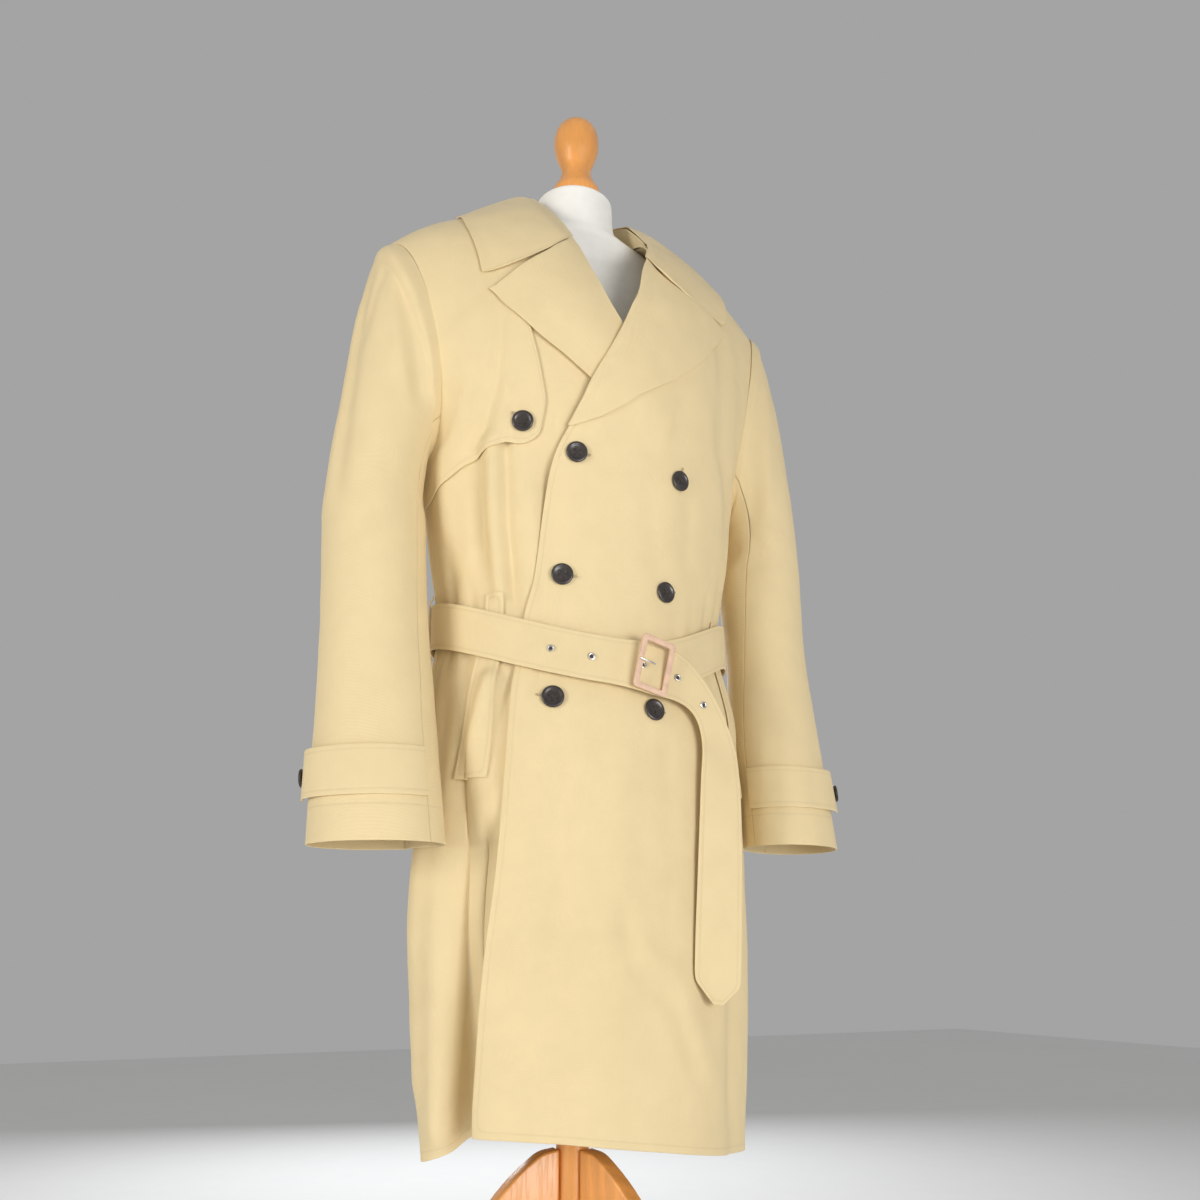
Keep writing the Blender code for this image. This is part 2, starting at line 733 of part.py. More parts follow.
# End of the collar: it follows the lapel's upper edge to the notch, then leaves it
COLLAR_END = {
    -1: (
        (0.00, 0.150, 0.706),
        (0.22, 0.210, 0.671),
        (0.45, 0.325, 0.632),
        (0.62, 0.436, 0.608),
        (0.82, 0.551, 0.594),
        (1.00, 0.684, 0.600),
    ),
    1: (
        (0.00, 0.102, 0.660),
        (0.15, 0.145, 0.614),
        (0.28, 0.210, 0.588),
        (0.45, 0.300, 0.580),
        (0.62, 0.399, 0.580),
        (0.82, 0.534, 0.593),
        (1.00, 0.610, 0.618),
    ),
}
COLLAR_OFF = 0.0058


def collar_lines(c):
    """Neckline point, surface path and roll point at -1 (right end) to 1 (left end)."""
    side = -1 if c < 0.0 else 1
    reach = 2.0 * (1.0 - abs(c))
    rows, surface = (COLLAR_FRONT, front_at) if reach < 1.0 else (COLLAR_BACK, back_at)
    k = reach if reach < 1.0 else min(reach - 1.0, 1.0)
    w_neck, v_neck, w_edge, v_edge = (table(rows, k, n) for n in (1, 2, 3, 4))
    roll = Vector((side * table(rows, k, 5), table(rows, k, 6), table(rows, k, 7)))
    if surface is front_at:
        end_w, end_v = COLLAR_END[side][0][1:]
        last = moved_out(front_at, side * end_w, end_v, COLLAR_OFF + (0.0042 if side > 0 else 0.0))
        near = smooth((abs(c) - 0.93) / 0.07)
        w_neck = lerp(w_neck, end_w, near)
        v_neck = lerp(v_neck, end_v, near)
        roll = lerp(roll, last, near)
    return side, surface, w_neck, v_neck, w_edge, v_edge, roll


def collar_leaf(c, s):
    """Fall of the collar from its roll (s = 0) to its free edge (s = 1)."""
    side, surface, w_neck, v_neck, w_edge, v_edge, roll = collar_lines(c)
    neck = surface(side * w_neck, v_neck)
    end = smooth((abs(c) - 0.80) / 0.20)
    w = side * lerp(lerp(w_neck, w_edge, s), table(COLLAR_END[side], s, 1), end)
    v = lerp(lerp(v_neck, v_edge, s), table(COLLAR_END[side], s, 2), end)
    p = moved_out(surface, w, min(v, 0.999), COLLAR_OFF * smooth(s * 4.0))
    return p + (roll - neck) * cos(0.5 * pi * s) ** 1.3


def collar():
    """Leaf of the collar, in one piece round the neck."""
    return sheet("collar", lambda a, b: collar_leaf(lerp(-1.0, 1.0, a), b), 28, 5)


def collar_stand():
    """Band that carries the collar, from the neckline up to the roll."""
    def place(a, b):
        side, surface, w_neck, v_neck, w_edge, v_edge, roll = collar_lines(lerp(-0.93, 0.93, a))
        neck = surface(side * w_neck, v_neck)
        foot = neck + Vector((0.0, 0.0, 0.0035)) - Vector((neck.x, neck.y, 0.0)).normalized() * 0.0010
        top = roll - Vector((0.0, 0.0, 0.0038)) + Vector((roll.x, roll.y, 0.0)).normalized() * 0.0010
        return lerp(foot, top, b)
    return sheet("collar_stand", place, 22, 2)


# ---------------------------------------------------------------- sleeves and cuffs
def seam_angle(side, t, angle):
    """Angle of a sleeve seam at a share down the sleeve."""
    return angle + SLEEVE_TWIST[side] * smooth((t - 0.15) / 0.7)


def sleeve_pieces(side, hand):
    """Top and under sleeve, which meet at the forearm seam and the back seam."""
    def part_of(start, stop):
        def place(a, b):
            low = seam_angle(side, b, start + SEAM_ANGLE)
            return sleeve_at(side, b, lerp(low, low + stop - start - 2.0 * SEAM_ANGLE, a))
        return place
    front = SLEEVE_SEAM_FRONT
    rear = SLEEVE_SEAM_BACK
    return [
        sheet(hand + "_top_sleeve", part_of(rear, front), 16, 16, flip=side < 0),
        sheet(hand + "_under_sleeve", part_of(front, rear + 360.0), 6, 16, flip=side < 0),
    ]


STRAP_Z = 0.7240        # height of a cuff strap's centre line
STRAP_HALF = 0.0235
STRAP_FROM = 130.0      # the strap leaves the forearm seam here
STRAP_TO = -30.0        # and its point ends here, behind the sleeve's outer side
STRAP_BUTTON = -17.0
STRAP_OFF = 0.0026


def sleeve_t(z):
    """Share along the sleeve at a height below the cap."""
    top = SLEEVE[-1][0]
    return lerp(CAP_SHARE, 1.0, (top - z) / (top - SLEEVE[0][0]))


def arm_out(side, point):
    """Direction that leads straight away from the sleeve's middle line."""
    middle = Vector((side * table(SLEEVE, point.z, 1), table(SLEEVE, point.z, 2), point.z))
    return (point - middle).normalized()


def cuff_strap(side, hand):
    """Strap round the cuff with a pointed end that buttons on the outer side."""
    def place(a, b):
        point = smooth((a - 0.90) / 0.10)
        half = STRAP_HALF * (1.0 - 0.62 * max(0.0, (a - 0.90) / 0.10))
        z = STRAP_Z + lerp(-half, half, b)
        phi = lerp(STRAP_FROM, STRAP_TO, a) + SLEEVE_TWIST[side]
        off = STRAP_OFF + 0.0045 * smooth((a - 0.55) / 0.25) + 0.001 * point
        return sleeve_out(side, sleeve_t(z), phi, off)
    return sheet(hand + "_cuff_strap", place, 16, 2, flip=side < 0)


# ---------------------------------------------------------------- pocket welts
WELT_TOP = (0.908, -0.612, -0.523)      # height, far w, near w
WELT_FOOT = (0.718, -0.735, -0.569)
WELT_OFF = 0.0026


def welt(side, hand):
    """Slanted welt of a side pocket."""
    def place(a, b):
        z = lerp(WELT_FOOT[0], WELT_TOP[0], b)
        far = lerp(WELT_FOOT[1], WELT_TOP[1], b)
        near = lerp(WELT_FOOT[2], WELT_TOP[2], b ** 0.7)
        w = lerp(far, near, a) if side < 0 else lerp(-near, -far, a)
        v = (z - PIT_Z) / UPPER
        rise = left_rise(w, v) if side > 0 else 0.0
        return moved_out(front_at, w, v, WELT_OFF + rise)
    return sheet(hand + "_pocket_welt", place, 4, 9)


# ---------------------------------------------------------------- belt
BELT_OFF_FRONT = 0.0075
BELT_OFF_BACK = 0.0036
BELT_START = 6.0        # angle where the belt is held by the buckle

# Hanging end: lower or left edge x, z, then upper or right edge x, z, then how far each stands off
TAIL = (
    (-0.0020, 0.8080, 0.0120, 0.8618, 0.0120, 0.0120),
    (0.0200, 0.8033, 0.0370, 0.8582, 0.0135, 0.0140),
    (0.0420, 0.8010, 0.0605, 0.8460, 0.0140, 0.0195),
    (0.0608, 0.7945, 0.0855, 0.8190, 0.0140, 0.0240),
    (0.0733, 0.7800, 0.1050, 0.7900, 0.0140, 0.0255),
    (0.0775, 0.7560, 0.1210, 0.7580, 0.0140, 0.0270),
    (0.0745, 0.7260, 0.1235, 0.7250, 0.0130, 0.0300),
    (0.0707, 0.6834, 0.1202, 0.6807, 0.0120, 0.0330),
    (0.0655, 0.6250, 0.1154, 0.6212, 0.0110, 0.0340),
    (0.0604, 0.5733, 0.1099, 0.5688, 0.0110, 0.0345),
    (0.0576, 0.5331, 0.1060, 0.5245, 0.0110, 0.0345),
)
EYELET_ROWS = (0.1, 1.8, 3.3)           # eyelets of the hanging end, between its rows
TAIL_TIP = (0.0752, 0.5100, 0.0850, 0.5087, 0.0200, 0.0240)


def belt_at(angle, up, extra=0.0):
    """Belt surface at an angle and a share of its half width."""
    turn = abs((angle + 180.0) % 360.0 - 180.0)
    off = lerp(BELT_OFF_FRONT, BELT_OFF_BACK, smooth((turn - 70.0) / 50.0))
    z = belt_height(angle) + up * 0.5 * BELT_WIDTH
    return shell(angle, z, off + extra)


def on_front(x, z, off):
    """Point in front of the coat's front at a place x and height z, folds left out."""
    half = table(SECTIONS, z, HALF)
    reach = sqrt(max(0.05, 1.0 - ((x - table(SECTIONS, z, MID_X)) / half) ** 2))
    return Vector((x, table(SECTIONS, z, MID_Y) - table(SECTIONS, z, FRONT) * reach - off, z))


def tail_spot(row):
    """Middle of the hanging end at a place between its rows, and the direction it faces."""
    first = int(row)
    pairs = []
    for x0, z0, x1, z1, off0, off1 in TAIL[first:first + 2]:
        pairs.append((on_front(x0, z0, off0), on_front(x1, z1, off1)))
    (low, high), (low_on, high_on) = pairs
    point = lerp(low + high, low_on + high_on, row - first) * 0.5
    return point, (low_on + high_on - low - high).cross(high - low).normalized()


def belt():
    """One strap: from the buckle round the back to the buckle again, then its hanging end."""
    rows = []
    steps = 38
    for i in range(steps + 1):
        angle = lerp(BELT_START, 360.0 - 5.0, i / steps)
        near_end = smooth((angle - 300.0) / 55.0)
        lean = 0.004 * near_end
        low = belt_at(angle - 3.0 * near_end, -1.0, lean)
        high = belt_at(angle + 3.0 * near_end, 1.0, lean)
        rows.append((low, high))
    for x0, z0, x1, z1, off0, off1 in TAIL + (TAIL_TIP,):
        rows.append((on_front(x0, z0, off0), on_front(x1, z1, off1)))
    spans = len(rows) - 1

    def place(a, b):
        low, high = rows[round(a * spans)]
        return lerp(low, high, b)
    return sheet("belt", place, spans, 2)


BUCKLE_AT = (0.0170, 0.8340)            # centre x, z
BUCKLE_SIZE = (0.040, 0.058)
BUCKLE_BAR = 0.0062
BUCKLE_ROUND = 0.0045
BUCKLE_THICK = 0.0035
BUCKLE_TURN = -14.0
BUCKLE_OFF = 0.0168


def buckle_frame():
    """Matrix that lays a piece on the buckle's face."""
    centre = on_front(BUCKLE_AT[0], BUCKLE_AT[1], BUCKLE_OFF)
    left = on_front(BUCKLE_AT[0] - 0.015, BUCKLE_AT[1], BUCKLE_OFF)
    right = on_front(BUCKLE_AT[0] + 0.015, BUCKLE_AT[1], BUCKLE_OFF)
    yaw = atan2(right.y - left.y, right.x - left.x)
    spin = Matrix.Rotation(radians(BUCKLE_TURN), 4, 'Y').inverted()
    return Matrix.Translation(centre) @ Matrix.Rotation(yaw, 4, 'Z') @ spin


def buckle():
    """Covered rectangular frame with rounded bars."""
    ring = bmesh.new()
    half_w = 0.5 * BUCKLE_SIZE[0]
    half_h = 0.5 * BUCKLE_SIZE[1]
    outer = []
    inner = []
    for sign_x, sign_z, start in ((1, 1, 0), (-1, 1, 90), (-1, -1, 180), (1, -1, 270)):
        window = Vector((sign_x * (half_w - BUCKLE_BAR), 0.0, sign_z * (half_h - BUCKLE_BAR)))
        corner = Vector((sign_x * (half_w - BUCKLE_ROUND), 0.0, sign_z * (half_h - BUCKLE_ROUND)))
        for k in range(4):
            a = radians(start + 30.0 * k)
            outer.append(ring.verts.new(corner + Vector((cos(a), 0.0, sin(a))) * BUCKLE_ROUND))
            inner.append(ring.verts.new(window))
    count = len(outer)
    for i in range(count):
        j = (i + 1) % count
        ring.faces.new((outer[i], outer[j], inner[j], inner[i]))
    bmesh.ops.remove_doubles(ring, verts=ring.verts, dist=1e-6)
    grown = bmesh.ops.extrude_face_region(ring, geom=list(ring.faces))
    moved = [g for g in grown["geom"] if isinstance(g, bmesh.types.BMVert)]
    bmesh.ops.translate(ring, verts=moved, vec=(0.0, -BUCKLE_THICK, 0.0))
    bmesh.ops.recalc_face_normals(ring, faces=ring.faces)
    bmesh.ops.transform(ring, matrix=buckle_frame(), verts=ring.verts)
    return add_object("buckle", ring, buckle_leather())


def prong():
    """Pin of the buckle, over its left bar."""
    pin = bmesh.new()
    bmesh.ops.create_cone(pin, cap_ends=True, segments=10, radius1=0.0011, radius2=0.0011, depth=0.0190)
    bmesh.ops.transform(pin, matrix=Matrix.Rotation(pi / 2, 4, 'Y'), verts=pin.verts)
    bmesh.ops.translate(pin, verts=pin.verts, vec=(-0.0105, -BUCKLE_THICK - 0.0015, 0.0))
    bmesh.ops.transform(pin, matrix=buckle_frame(), verts=pin.verts)
    return add_object("buckle_prong", pin, steel())


def belt_loop(side, hand, angle):
    """Loop of cloth that holds the belt at the side."""
    def place(a, b):
        z = belt_height(angle) + lerp(-0.036, 0.036, b)
        bow = smooth(min(b, 1.0 - b) / 0.14)
        return shell(side * (angle + lerp(-1.6, 1.6, a) * side), z, 0.0024 + 0.0052 * bow)
    return sheet(hand + "_belt_loop", place, 2, 8)


# ---------------------------------------------------------------- buttons and eyelets
BUTTON_PROFILE = (
    # share of the radius, height
    (0.00, 0.0000),
    (0.88, 0.0000),
    (1.00, 0.0014),
    (0.94, 0.0034),
    (0.74, 0.0034),
    (0.60, 0.0024),
    (0.00, 0.0024),
)
# Front buttons: name, place w, patch height v
FRONT_BUTTONS = (
    ("button_top_right", -0.214, -0.024),
    ("button_top_left", 0.200, -0.056),
    ("button_middle_right", -0.275, -0.463),
    ("button_middle_left", 0.170, -0.479),
    ("button_bottom_right", -0.314, -0.896),
    ("button_bottom_left", 0.074, -0.916),
)


def facing(point, normal):
    """Matrix that stands +Z on a surface."""
    return Matrix.Translation(point) @ normal.to_track_quat('Z', 'Y').to_matrix().to_4x4()


def button(name, radius, point, normal):
    """Dished sew-through button lying on the cloth."""
    made = turned(name, [(radius * share, height) for share, height in BUTTON_PROFILE], 14, horn())
    made.data.transform(facing(point, normal))
    return made


def button_on_front(name, w, v, beneath):
    """Button lying on a piece of the front."""
    point = moved_out(front_at, w, v, 0.010)
    normal = (point - front_at(w, v)).normalized()
    return rest_on(button(name, BUTTON_R, point, normal), beneath, normal)


def eyelet(name, point, normal):
    """Metal ring set in the belt."""
    made = turned(name, ((0.0018, 0.0), (0.0036, 0.0), (0.0036, 0.0006), (0.0029, 0.0010),
                         (0.0018, 0.0008), (0.0018, 0.0)), 10, steel())
    made.data.transform(facing(point, normal))
    return made


def eyelets(strap):
    """Five eyelets: two before the buckle, one under its pin and two beyond it."""
    made = []
    for angle in (-28.5, -15.0):
        point = belt_at(angle, 0.0)
        made.append((point, (belt_at(angle, 0.0, 0.05) - point).normalized()))
    made += [tail_spot(row) for row in EYELET_ROWS]
    return [
        rest_on(eyelet("eyelet_%d" % (n + 1), point, normal), [strap], normal)
        for n, (point, normal) in enumerate(made)
    ]


# ---------------------------------------------------------------- dress form and stand
# Form sections: height, half width, half depth, centre y
FORM = (
    (0.6900, 0.1300, 0.0820, -0.0140),
    (0.7000, 0.1480, 0.0960, -0.0140),
    (0.7800, 0.1500, 0.0960, -0.0140),
    (0.8860, 0.1400, 0.0860, -0.0120),
    (1.0000, 0.1560, 0.0960, -0.0100),
    (1.1200, 0.1680, 0.0980, -0.0100),
    (1.2200, 0.1720, 0.0900, -0.0080),
    (1.2900, 0.1680, 0.0720, -0.0040),
    (1.3400, 0.1600, 0.0520, -0.0020),
    (1.3750, 0.1400, 0.0400, 0.0000),
    (1.4029, 0.1050, 0.0400, 0.0040),
    (1.4140, 0.0720, 0.0440, 0.0080),
    (1.4220, 0.0540, 0.0460, 0.0110),
    (1.4450, 0.0490, 0.0470, 0.0130),
    (1.4700, 0.0480, 0.0470, 0.0130),
    (1.4750, 0.0440, 0.0430, 0.0130),
)
NECK_LEAN = 0.0080      # how far the finial sits behind the post's axis


def dress_form():
    """Smooth limbless torso with its neck."""
    def ring(angle, t):
        a = radians(angle)
        spans = len(FORM) - 1
        z = FORM[round(t * spans)][0]
        return Vector((table(FORM, z, 1) * sin(a), table(FORM, z, 3) - table(FORM, z, 2) * cos(a), z))
    return tube_loft("dress_form", ring, 28, len(FORM) - 1, form_cloth())


FINIAL_PROFILE = (
    (0.0000, 1.4755), (0.0300, 1.4755), (0.0312, 1.4830), (0.0300, 1.4920), (0.0240, 1.5030),
    (0.0195, 1.5150), (0.0190, 1.5250), (0.0225, 1.5360), (0.0268, 1.5490), (0.0288, 1.5640),
    (0.0275, 1.5770), (0.0235, 1.5875), (0.0165, 1.5955), (0.0080, 1.5990), (0.0000, 1.6000),
)
POST_PROFILE = (
    (0.0000, 0.1900), (0.0165, 0.1900), (0.0165, 0.3400), (0.0165, 0.6600), (0.0220, 0.6640),
    (0.0240, 0.6800), (0.0240, 0.6895), (0.0000, 0.6895),
)
# Leg outline in radius and height: the convex top edge, then the underside
LEG_TOP = ((0.0170, 0.3720), (0.0420, 0.3640), (0.0860, 0.3230), (0.1300, 0.2480), (0.1750, 0.1500),
           (0.2250, 0.0720), (0.2850, 0.0420), (0.3000, 0.0260), (0.3000, 0.0000))
LEG_UNDER = ((0.2500, 0.0000), (0.2050, 0.0220), (0.1500, 0.0800), (0.1050, 0.1600), (0.0550, 0.2150),
             (0.0170, 0.2300))
LEG_AZIMUTHS = (-65.0 - 120.0, -65.0, -65.0 + 120.0)


def leg(name, azimuth):
    """Flat wooden leg with a convex top edge."""
    board = bmesh.new()
    half = 0.5 * LEG_BOARD
    top = [Vector((r, -half, z)) for r, z in LEG_TOP]
    points = [curve(top[:-2], k / 16.0) for k in range(17)] + top[-2:]
    under = [Vector((r, -half, z)) for r, z in LEG_UNDER]
    points += [curve(under, k / 12.0) for k in range(13)]
    face = board.faces.new([board.verts.new(p) for p in points])
    grown = bmesh.ops.extrude_face_region(board, geom=[face])
    moved = [g for g in grown["geom"] if isinstance(g, bmesh.types.BMVert)]
    bmesh.ops.translate(board, verts=moved, vec=(0.0, LEG_BOARD, 0.0))
    bmesh.ops.recalc_face_normals(board, faces=board.faces)
    turn = Matrix.Rotation(radians(azimuth), 3, 'Z')
    bmesh.ops.rotate(board, verts=board.verts, cent=(0.0, 0.0, 0.0), matrix=turn)
    return add_object(name, board, wood(), 30.0)


def centre_on_origin():
    """Shift everything so the whole stands centred on the origin."""
    bpy.context.view_layer.update()
    corners = [item.matrix_world @ Vector(c) for item in bpy.context.scene.objects for c in item.bound_box]
    shift = Vector((-0.5 * (min(c.x for c in corners) + max(c.x for c in corners)),
                    -0.5 * (min(c.y for c in corners) + max(c.y for c in corners)), 0.0))
    for item in bpy.context.scene.objects:
        item.location += shift


def build_all():
    """Make every piece, from the lowest layer to the topmost."""
    clear_scene()
    under_front = right_front()
    rear = back()
    flap = lie_on(gun_flap(), [under_front])
    low_lapel = lie_on(lapel(-1, "right_lapel", RIGHT_LAPEL, 0.100, 0.0030, 0.0056), [under_front, flap])
    over_front = lie_on(left_front(), [under_front, low_lapel])
    high_lapel = lie_on(lapel(1, "left_lapel", LEFT_LAPEL, 0.062, 0.0050, 0.0056), [over_front, low_lapel])
    stand = collar_stand()
    lie_on(collar(), [under_front, over_front, rear, flap, low_lapel, high_lapel, stand])
    beneath_belt = [under_front, over_front, rear]
    for side, hand, front in ((-1, "right", under_front), (1, "left", over_front)):
        sleeves = sleeve_pieces(side, hand)
        strap = lie_on(cuff_strap(side, hand), sleeves, lambda point, side=side: arm_out(side, point))
        beneath_belt.append(lie_on(welt(side, hand), [front]))
        turn = STRAP_BUTTON + SLEEVE_TWIST[side]
        point = sleeve_out(side, sleeve_t(STRAP_Z), turn, 0.0100)
        out = (sleeve_out(side, sleeve_t(STRAP_Z), turn, 0.0300) - point).normalized()
        rest_on(button(hand + "_cuff_button", CUFF_BUTTON_R, point, out), [strap], out)
    for name, w, v in FRONT_BUTTONS:
        button_on_front(name, w, v, [over_front])
    button_on_front("button_flap", -0.440, 0.090, [flap])
    strap = lie_on(belt(), beneath_belt)
    for side, hand in ((-1, "right"), (1, "left")):
        lie_on(belt_loop(side, hand, 97.0), [strap, rear])
    holes = eyelets(strap)
    out = buckle_frame().to_3x3() @ Vector((0.0, -1.0, 0.0))
    frame = rest_on(buckle(), [strap], out)
    rest_on(prong(), [strap, frame, holes[2]], out)
    dress_form()
    turned("finial", FINIAL_PROFILE, 16, wood(), (0.0, NECK_LEAN), 60.0)
    turned("post", POST_PROFILE, 16, wood())
    for n, azimuth in enumerate(LEG_AZIMUTHS):
        leg("leg_%d" % (n + 1), azimuth)
    centre_on_origin()


build_all()
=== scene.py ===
"""Double-breasted trench coat on a limbless dress form: the finished look of every piece.

Metres, +Z up, wearer's front towards -Y, wearer's left towards +X. The shape functions work in a
frame whose Z axis is the post's axis, and every point is shifted to the model's own frame when it is laid.
"""
from math import atan, atan2, cos, degrees, exp, pi, radians, sin, sqrt

import bmesh
import bpy
from bpy.props import FloatProperty, FloatVectorProperty, PointerProperty
from mathutils import Matrix, Vector, noise
from mathutils.bvhtree import BVHTree


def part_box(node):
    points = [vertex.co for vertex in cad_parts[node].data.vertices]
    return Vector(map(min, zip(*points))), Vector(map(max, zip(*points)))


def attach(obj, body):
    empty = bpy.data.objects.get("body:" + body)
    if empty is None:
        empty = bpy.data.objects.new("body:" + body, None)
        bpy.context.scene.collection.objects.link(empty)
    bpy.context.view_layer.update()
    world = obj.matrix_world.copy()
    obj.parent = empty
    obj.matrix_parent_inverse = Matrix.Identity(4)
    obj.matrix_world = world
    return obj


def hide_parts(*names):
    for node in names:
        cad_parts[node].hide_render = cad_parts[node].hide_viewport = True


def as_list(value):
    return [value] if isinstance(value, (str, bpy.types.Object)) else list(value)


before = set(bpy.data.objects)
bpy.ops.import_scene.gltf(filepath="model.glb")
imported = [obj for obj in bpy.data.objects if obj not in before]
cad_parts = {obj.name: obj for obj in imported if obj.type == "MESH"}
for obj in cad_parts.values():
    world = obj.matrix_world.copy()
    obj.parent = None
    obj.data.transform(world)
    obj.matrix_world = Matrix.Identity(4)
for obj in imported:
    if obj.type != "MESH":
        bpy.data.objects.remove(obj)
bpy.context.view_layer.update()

bl_info = {
    "name": "Trench coat on a dress form",
    "version": (1, 0, 0),
    "blender": (4, 5, 0),
    "location": "3D View > Sidebar > Coat",
    "description": "Lays, stitches and buttons a belted trench coat on its stand",
    "category": "Add Mesh",
}

POST_LOW, POST_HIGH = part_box("post")
SHIFT = Vector((0.5 * (POST_LOW[0] + POST_HIGH[0]), 0.5 * (POST_LOW[1] + POST_HIGH[1]), 0.0))

# ---- driving sizes
REST = 0.0004  # gap kept between a piece and what it lies on
REACH = 0.012  # how far a piece is looked for above its place
MID_DEPTH = -0.01  # depth of the body's middle line
CHEST_Z = 1.25  # above this height the body's surface turns towards the shoulders
SIDE_W = 0.998  # the panels stop just short of the side seams
TOP_V = 0.9985  # and of the shoulder seams
SLEEVE_GAP = 0.0004  # the sleeve's edge stands this far from the armhole
SLEEVE_GAP_PIT = 0.0012  # and this far under the arm, where the walls turn away from each other
SEAM_ANGLE = 0.05  # half of the gap at a sleeve seam, in degrees
LAP = 0.003  # rise of the left front over the right front
LAP_CHEST = 0.006  # the same near the lapels
FOLD_BRIDGE = 0.003  # the same over the deep fold beside the left front's edge
PIT_Z = 1.065  # height of the armpits
BELT_WIDTH = 0.05
BUTTON_R = 0.0115
CUFF_BUTTON_R = 0.0095
TWILL_SLANT = radians(-27.0)
SIDES = ((-1, "right"), (1, "left"))  # sign of x and name of each side of the wearer

# Body sections: height, half width, front depth, back depth, centre x, centre y
SECTIONS = (
    (0.365, 0.159, 0.12, 0.12, 0.004, -0.024),
    (0.6, 0.18, 0.122, 0.12, -0.002, -0.02),
    (0.78, 0.177, 0.12, 0.112, 0.002, -0.016),
    (0.886, 0.165, 0.112, 0.102, -0.001, -0.014),
    (0.985, 0.179, 0.12, 0.106, 0.001, -0.01),
    (1.065, 0.19, 0.126, 0.11, 0, -0.01),
)
HALF, FRONT, BACK, MID_X, MID_Y = 1, 2, 3, 4, 5  # columns of SECTIONS

# Hem line: angle, height
HEM = (
    (-180, 0.38), (-90, 0.374), (-72, 0.384), (-64, 0.4), (-30, 0.396), (0, 0.387),
    (45, 0.372), (90, 0.367), (180, 0.38),
)

# Folds of the body: top angle, bottom angle, top height, bottom height, depth, half width (degrees)
# A negative depth is a trough. Angle 0 is the centre front, 90 the wearer's left side.
FOLDS = (
    (-58, -66, 0.85, 0.36, -0.02, 5),
    (-74, -84, 0.83, 0.36, 0.011, 10),
    (-56, -57, 1.13, 0.9, -0.01, 4.5),
    (-70, -74, 1.11, 0.93, 0.005, 6),
    (-104, -112, 0.84, 0.36, -0.014, 7),
    (-138, -134, 0.84, 0.36, 0.011, 11),
    (-166, -160, 0.84, 0.36, -0.012, 8),
    (172, 168, 0.83, 0.36, 0.009, 10),
    (146, 141, 0.84, 0.36, -0.012, 8),
    (112, 114, 0.83, 0.36, 0.008, 11),
    (78, 76, 0.8, 0.36, -0.007, 7),
    (66, 70, 0.83, 0.36, 0.006, 9),
    (44, 46, 0.8, 0.36, -0.004, 7),
    (8, 22, 0.76, 0.36, 0.0035, 12),
    (-22, -30, 0.76, 0.36, -0.0035, 8),
    (76, 72, 1.09, 0.93, -0.006, 6),
    (-150, -150, 1.08, 0.93, -0.006, 8),
    (150, 150, 1.08, 0.93, -0.006, 8),
)

# Armhole: an ellipse in a leaning plane
ARMHOLE_CENTRE = Vector((0.2155, -0.008, 1.196))
ARMHOLE_TOP = Vector((0.0255, 0.002, 0.131))
ARMHOLE_FRONT = Vector((-0.0175, -0.056, 0.0))

# Neck point, where the shoulder seam meets the neckline, and the lines down to the centres
NECK_POINT = Vector((0.078, 0.006, 1.425))
FRONT_NECK = (
    (0, -0.145, 1.15), (0, -0.142, 1.235), (0.006, -0.118, 1.315), (0.04, -0.075, 1.378),
)
BACK_NECK = (
    (0, 0.106, 1.17), (0, 0.1, 1.29), (0, 0.072, 1.424), (0.048, 0.052, 1.433),
)
BACK_NECK_V = 0.6  # patch height of the neckline at the centre back
NECK_COLUMNS = 0.25  # share of the back's columns that end at the neckline
UPPER = 0.3  # nominal height of the upper patch

# Front edges, from the hem up the roll line to the neck: patch height v, place w (90 degrees = 1)
LEFT_EDGE = (
    (-2.4, -0.67), (-2.125, -0.627), (-1.85, -0.573), (-1.415, -0.5), (-0.887, -0.477),
    (-0.605, -0.435), (-0.494, -0.394), (-0.216, -0.339), (-0.104, -0.315), (-0.023, -0.289),
    (0.06, -0.256), (0.211, -0.182), (0.364, -0.053), (0.49, 0.037), (0.6, 0.075), (0.73, 0.096),
    (0.86, 0.06), (1, 0.004),
)
RIGHT_EDGE = (
    (-2.4, 0.26), (-0.1, 0.25), (0.09, 0.15), (0.211, 0.085), (0.364, -0.053), (0.475, -0.124),
    (0.587, -0.17), (0.689, -0.16), (0.86, -0.09), (1, -0.004),
)

# Sleeve sections: height, centre x, centre y, long half width, short half width
SLEEVE = (
    (0.66, 0.234, -0.063, 0.066, 0.05),
    (0.8, 0.236, -0.038, 0.0575, 0.048),
    (0.9, 0.239, -0.024, 0.0535, 0.0445),
    (1, 0.242, -0.012, 0.054, 0.0485),
)
CUFF_DROP = {-1: 0.007, 1: -0.006}  # the right sleeve hangs a little lower
SLEEVE_TWIST = {-1: -12.0, 1: 34.0}  # turn of the seams from the armhole to the cuff
SLEEVE_TURN = 40.0  # turn of a section's long side from the wearer's side
SLEEVE_SEAM_FRONT = 130.0
SLEEVE_SEAM_BACK = -125.0
CAP_SHARE = 0.36  # share of a sleeve's length that is its cap
CAP_PULL = 0.024  # how far the cap is flattened at the shoulder
PIT_EASE = -0.012  # and how far it stands out under the arm
SLEEVE_ROOM = 0.0068  # room kept between the coat's side and the sleeve
SLEEVE_FREE = 0.012  # share of the sleeve beside the armhole that is left alone
SLEEVE_BLEND = 0.055  # share over which it then eases clear of the side
RIGHT_ROOM = 0.006  # more room beside the flap on the right chest
RIGHT_ROOM_LOW = 0.05  # from this far below the armpits
RIGHT_ROOM_BLEND = 0.02
ARMHOLE_FADE = 0.13  # the sleeve's creases fade towards the shoulder over this height
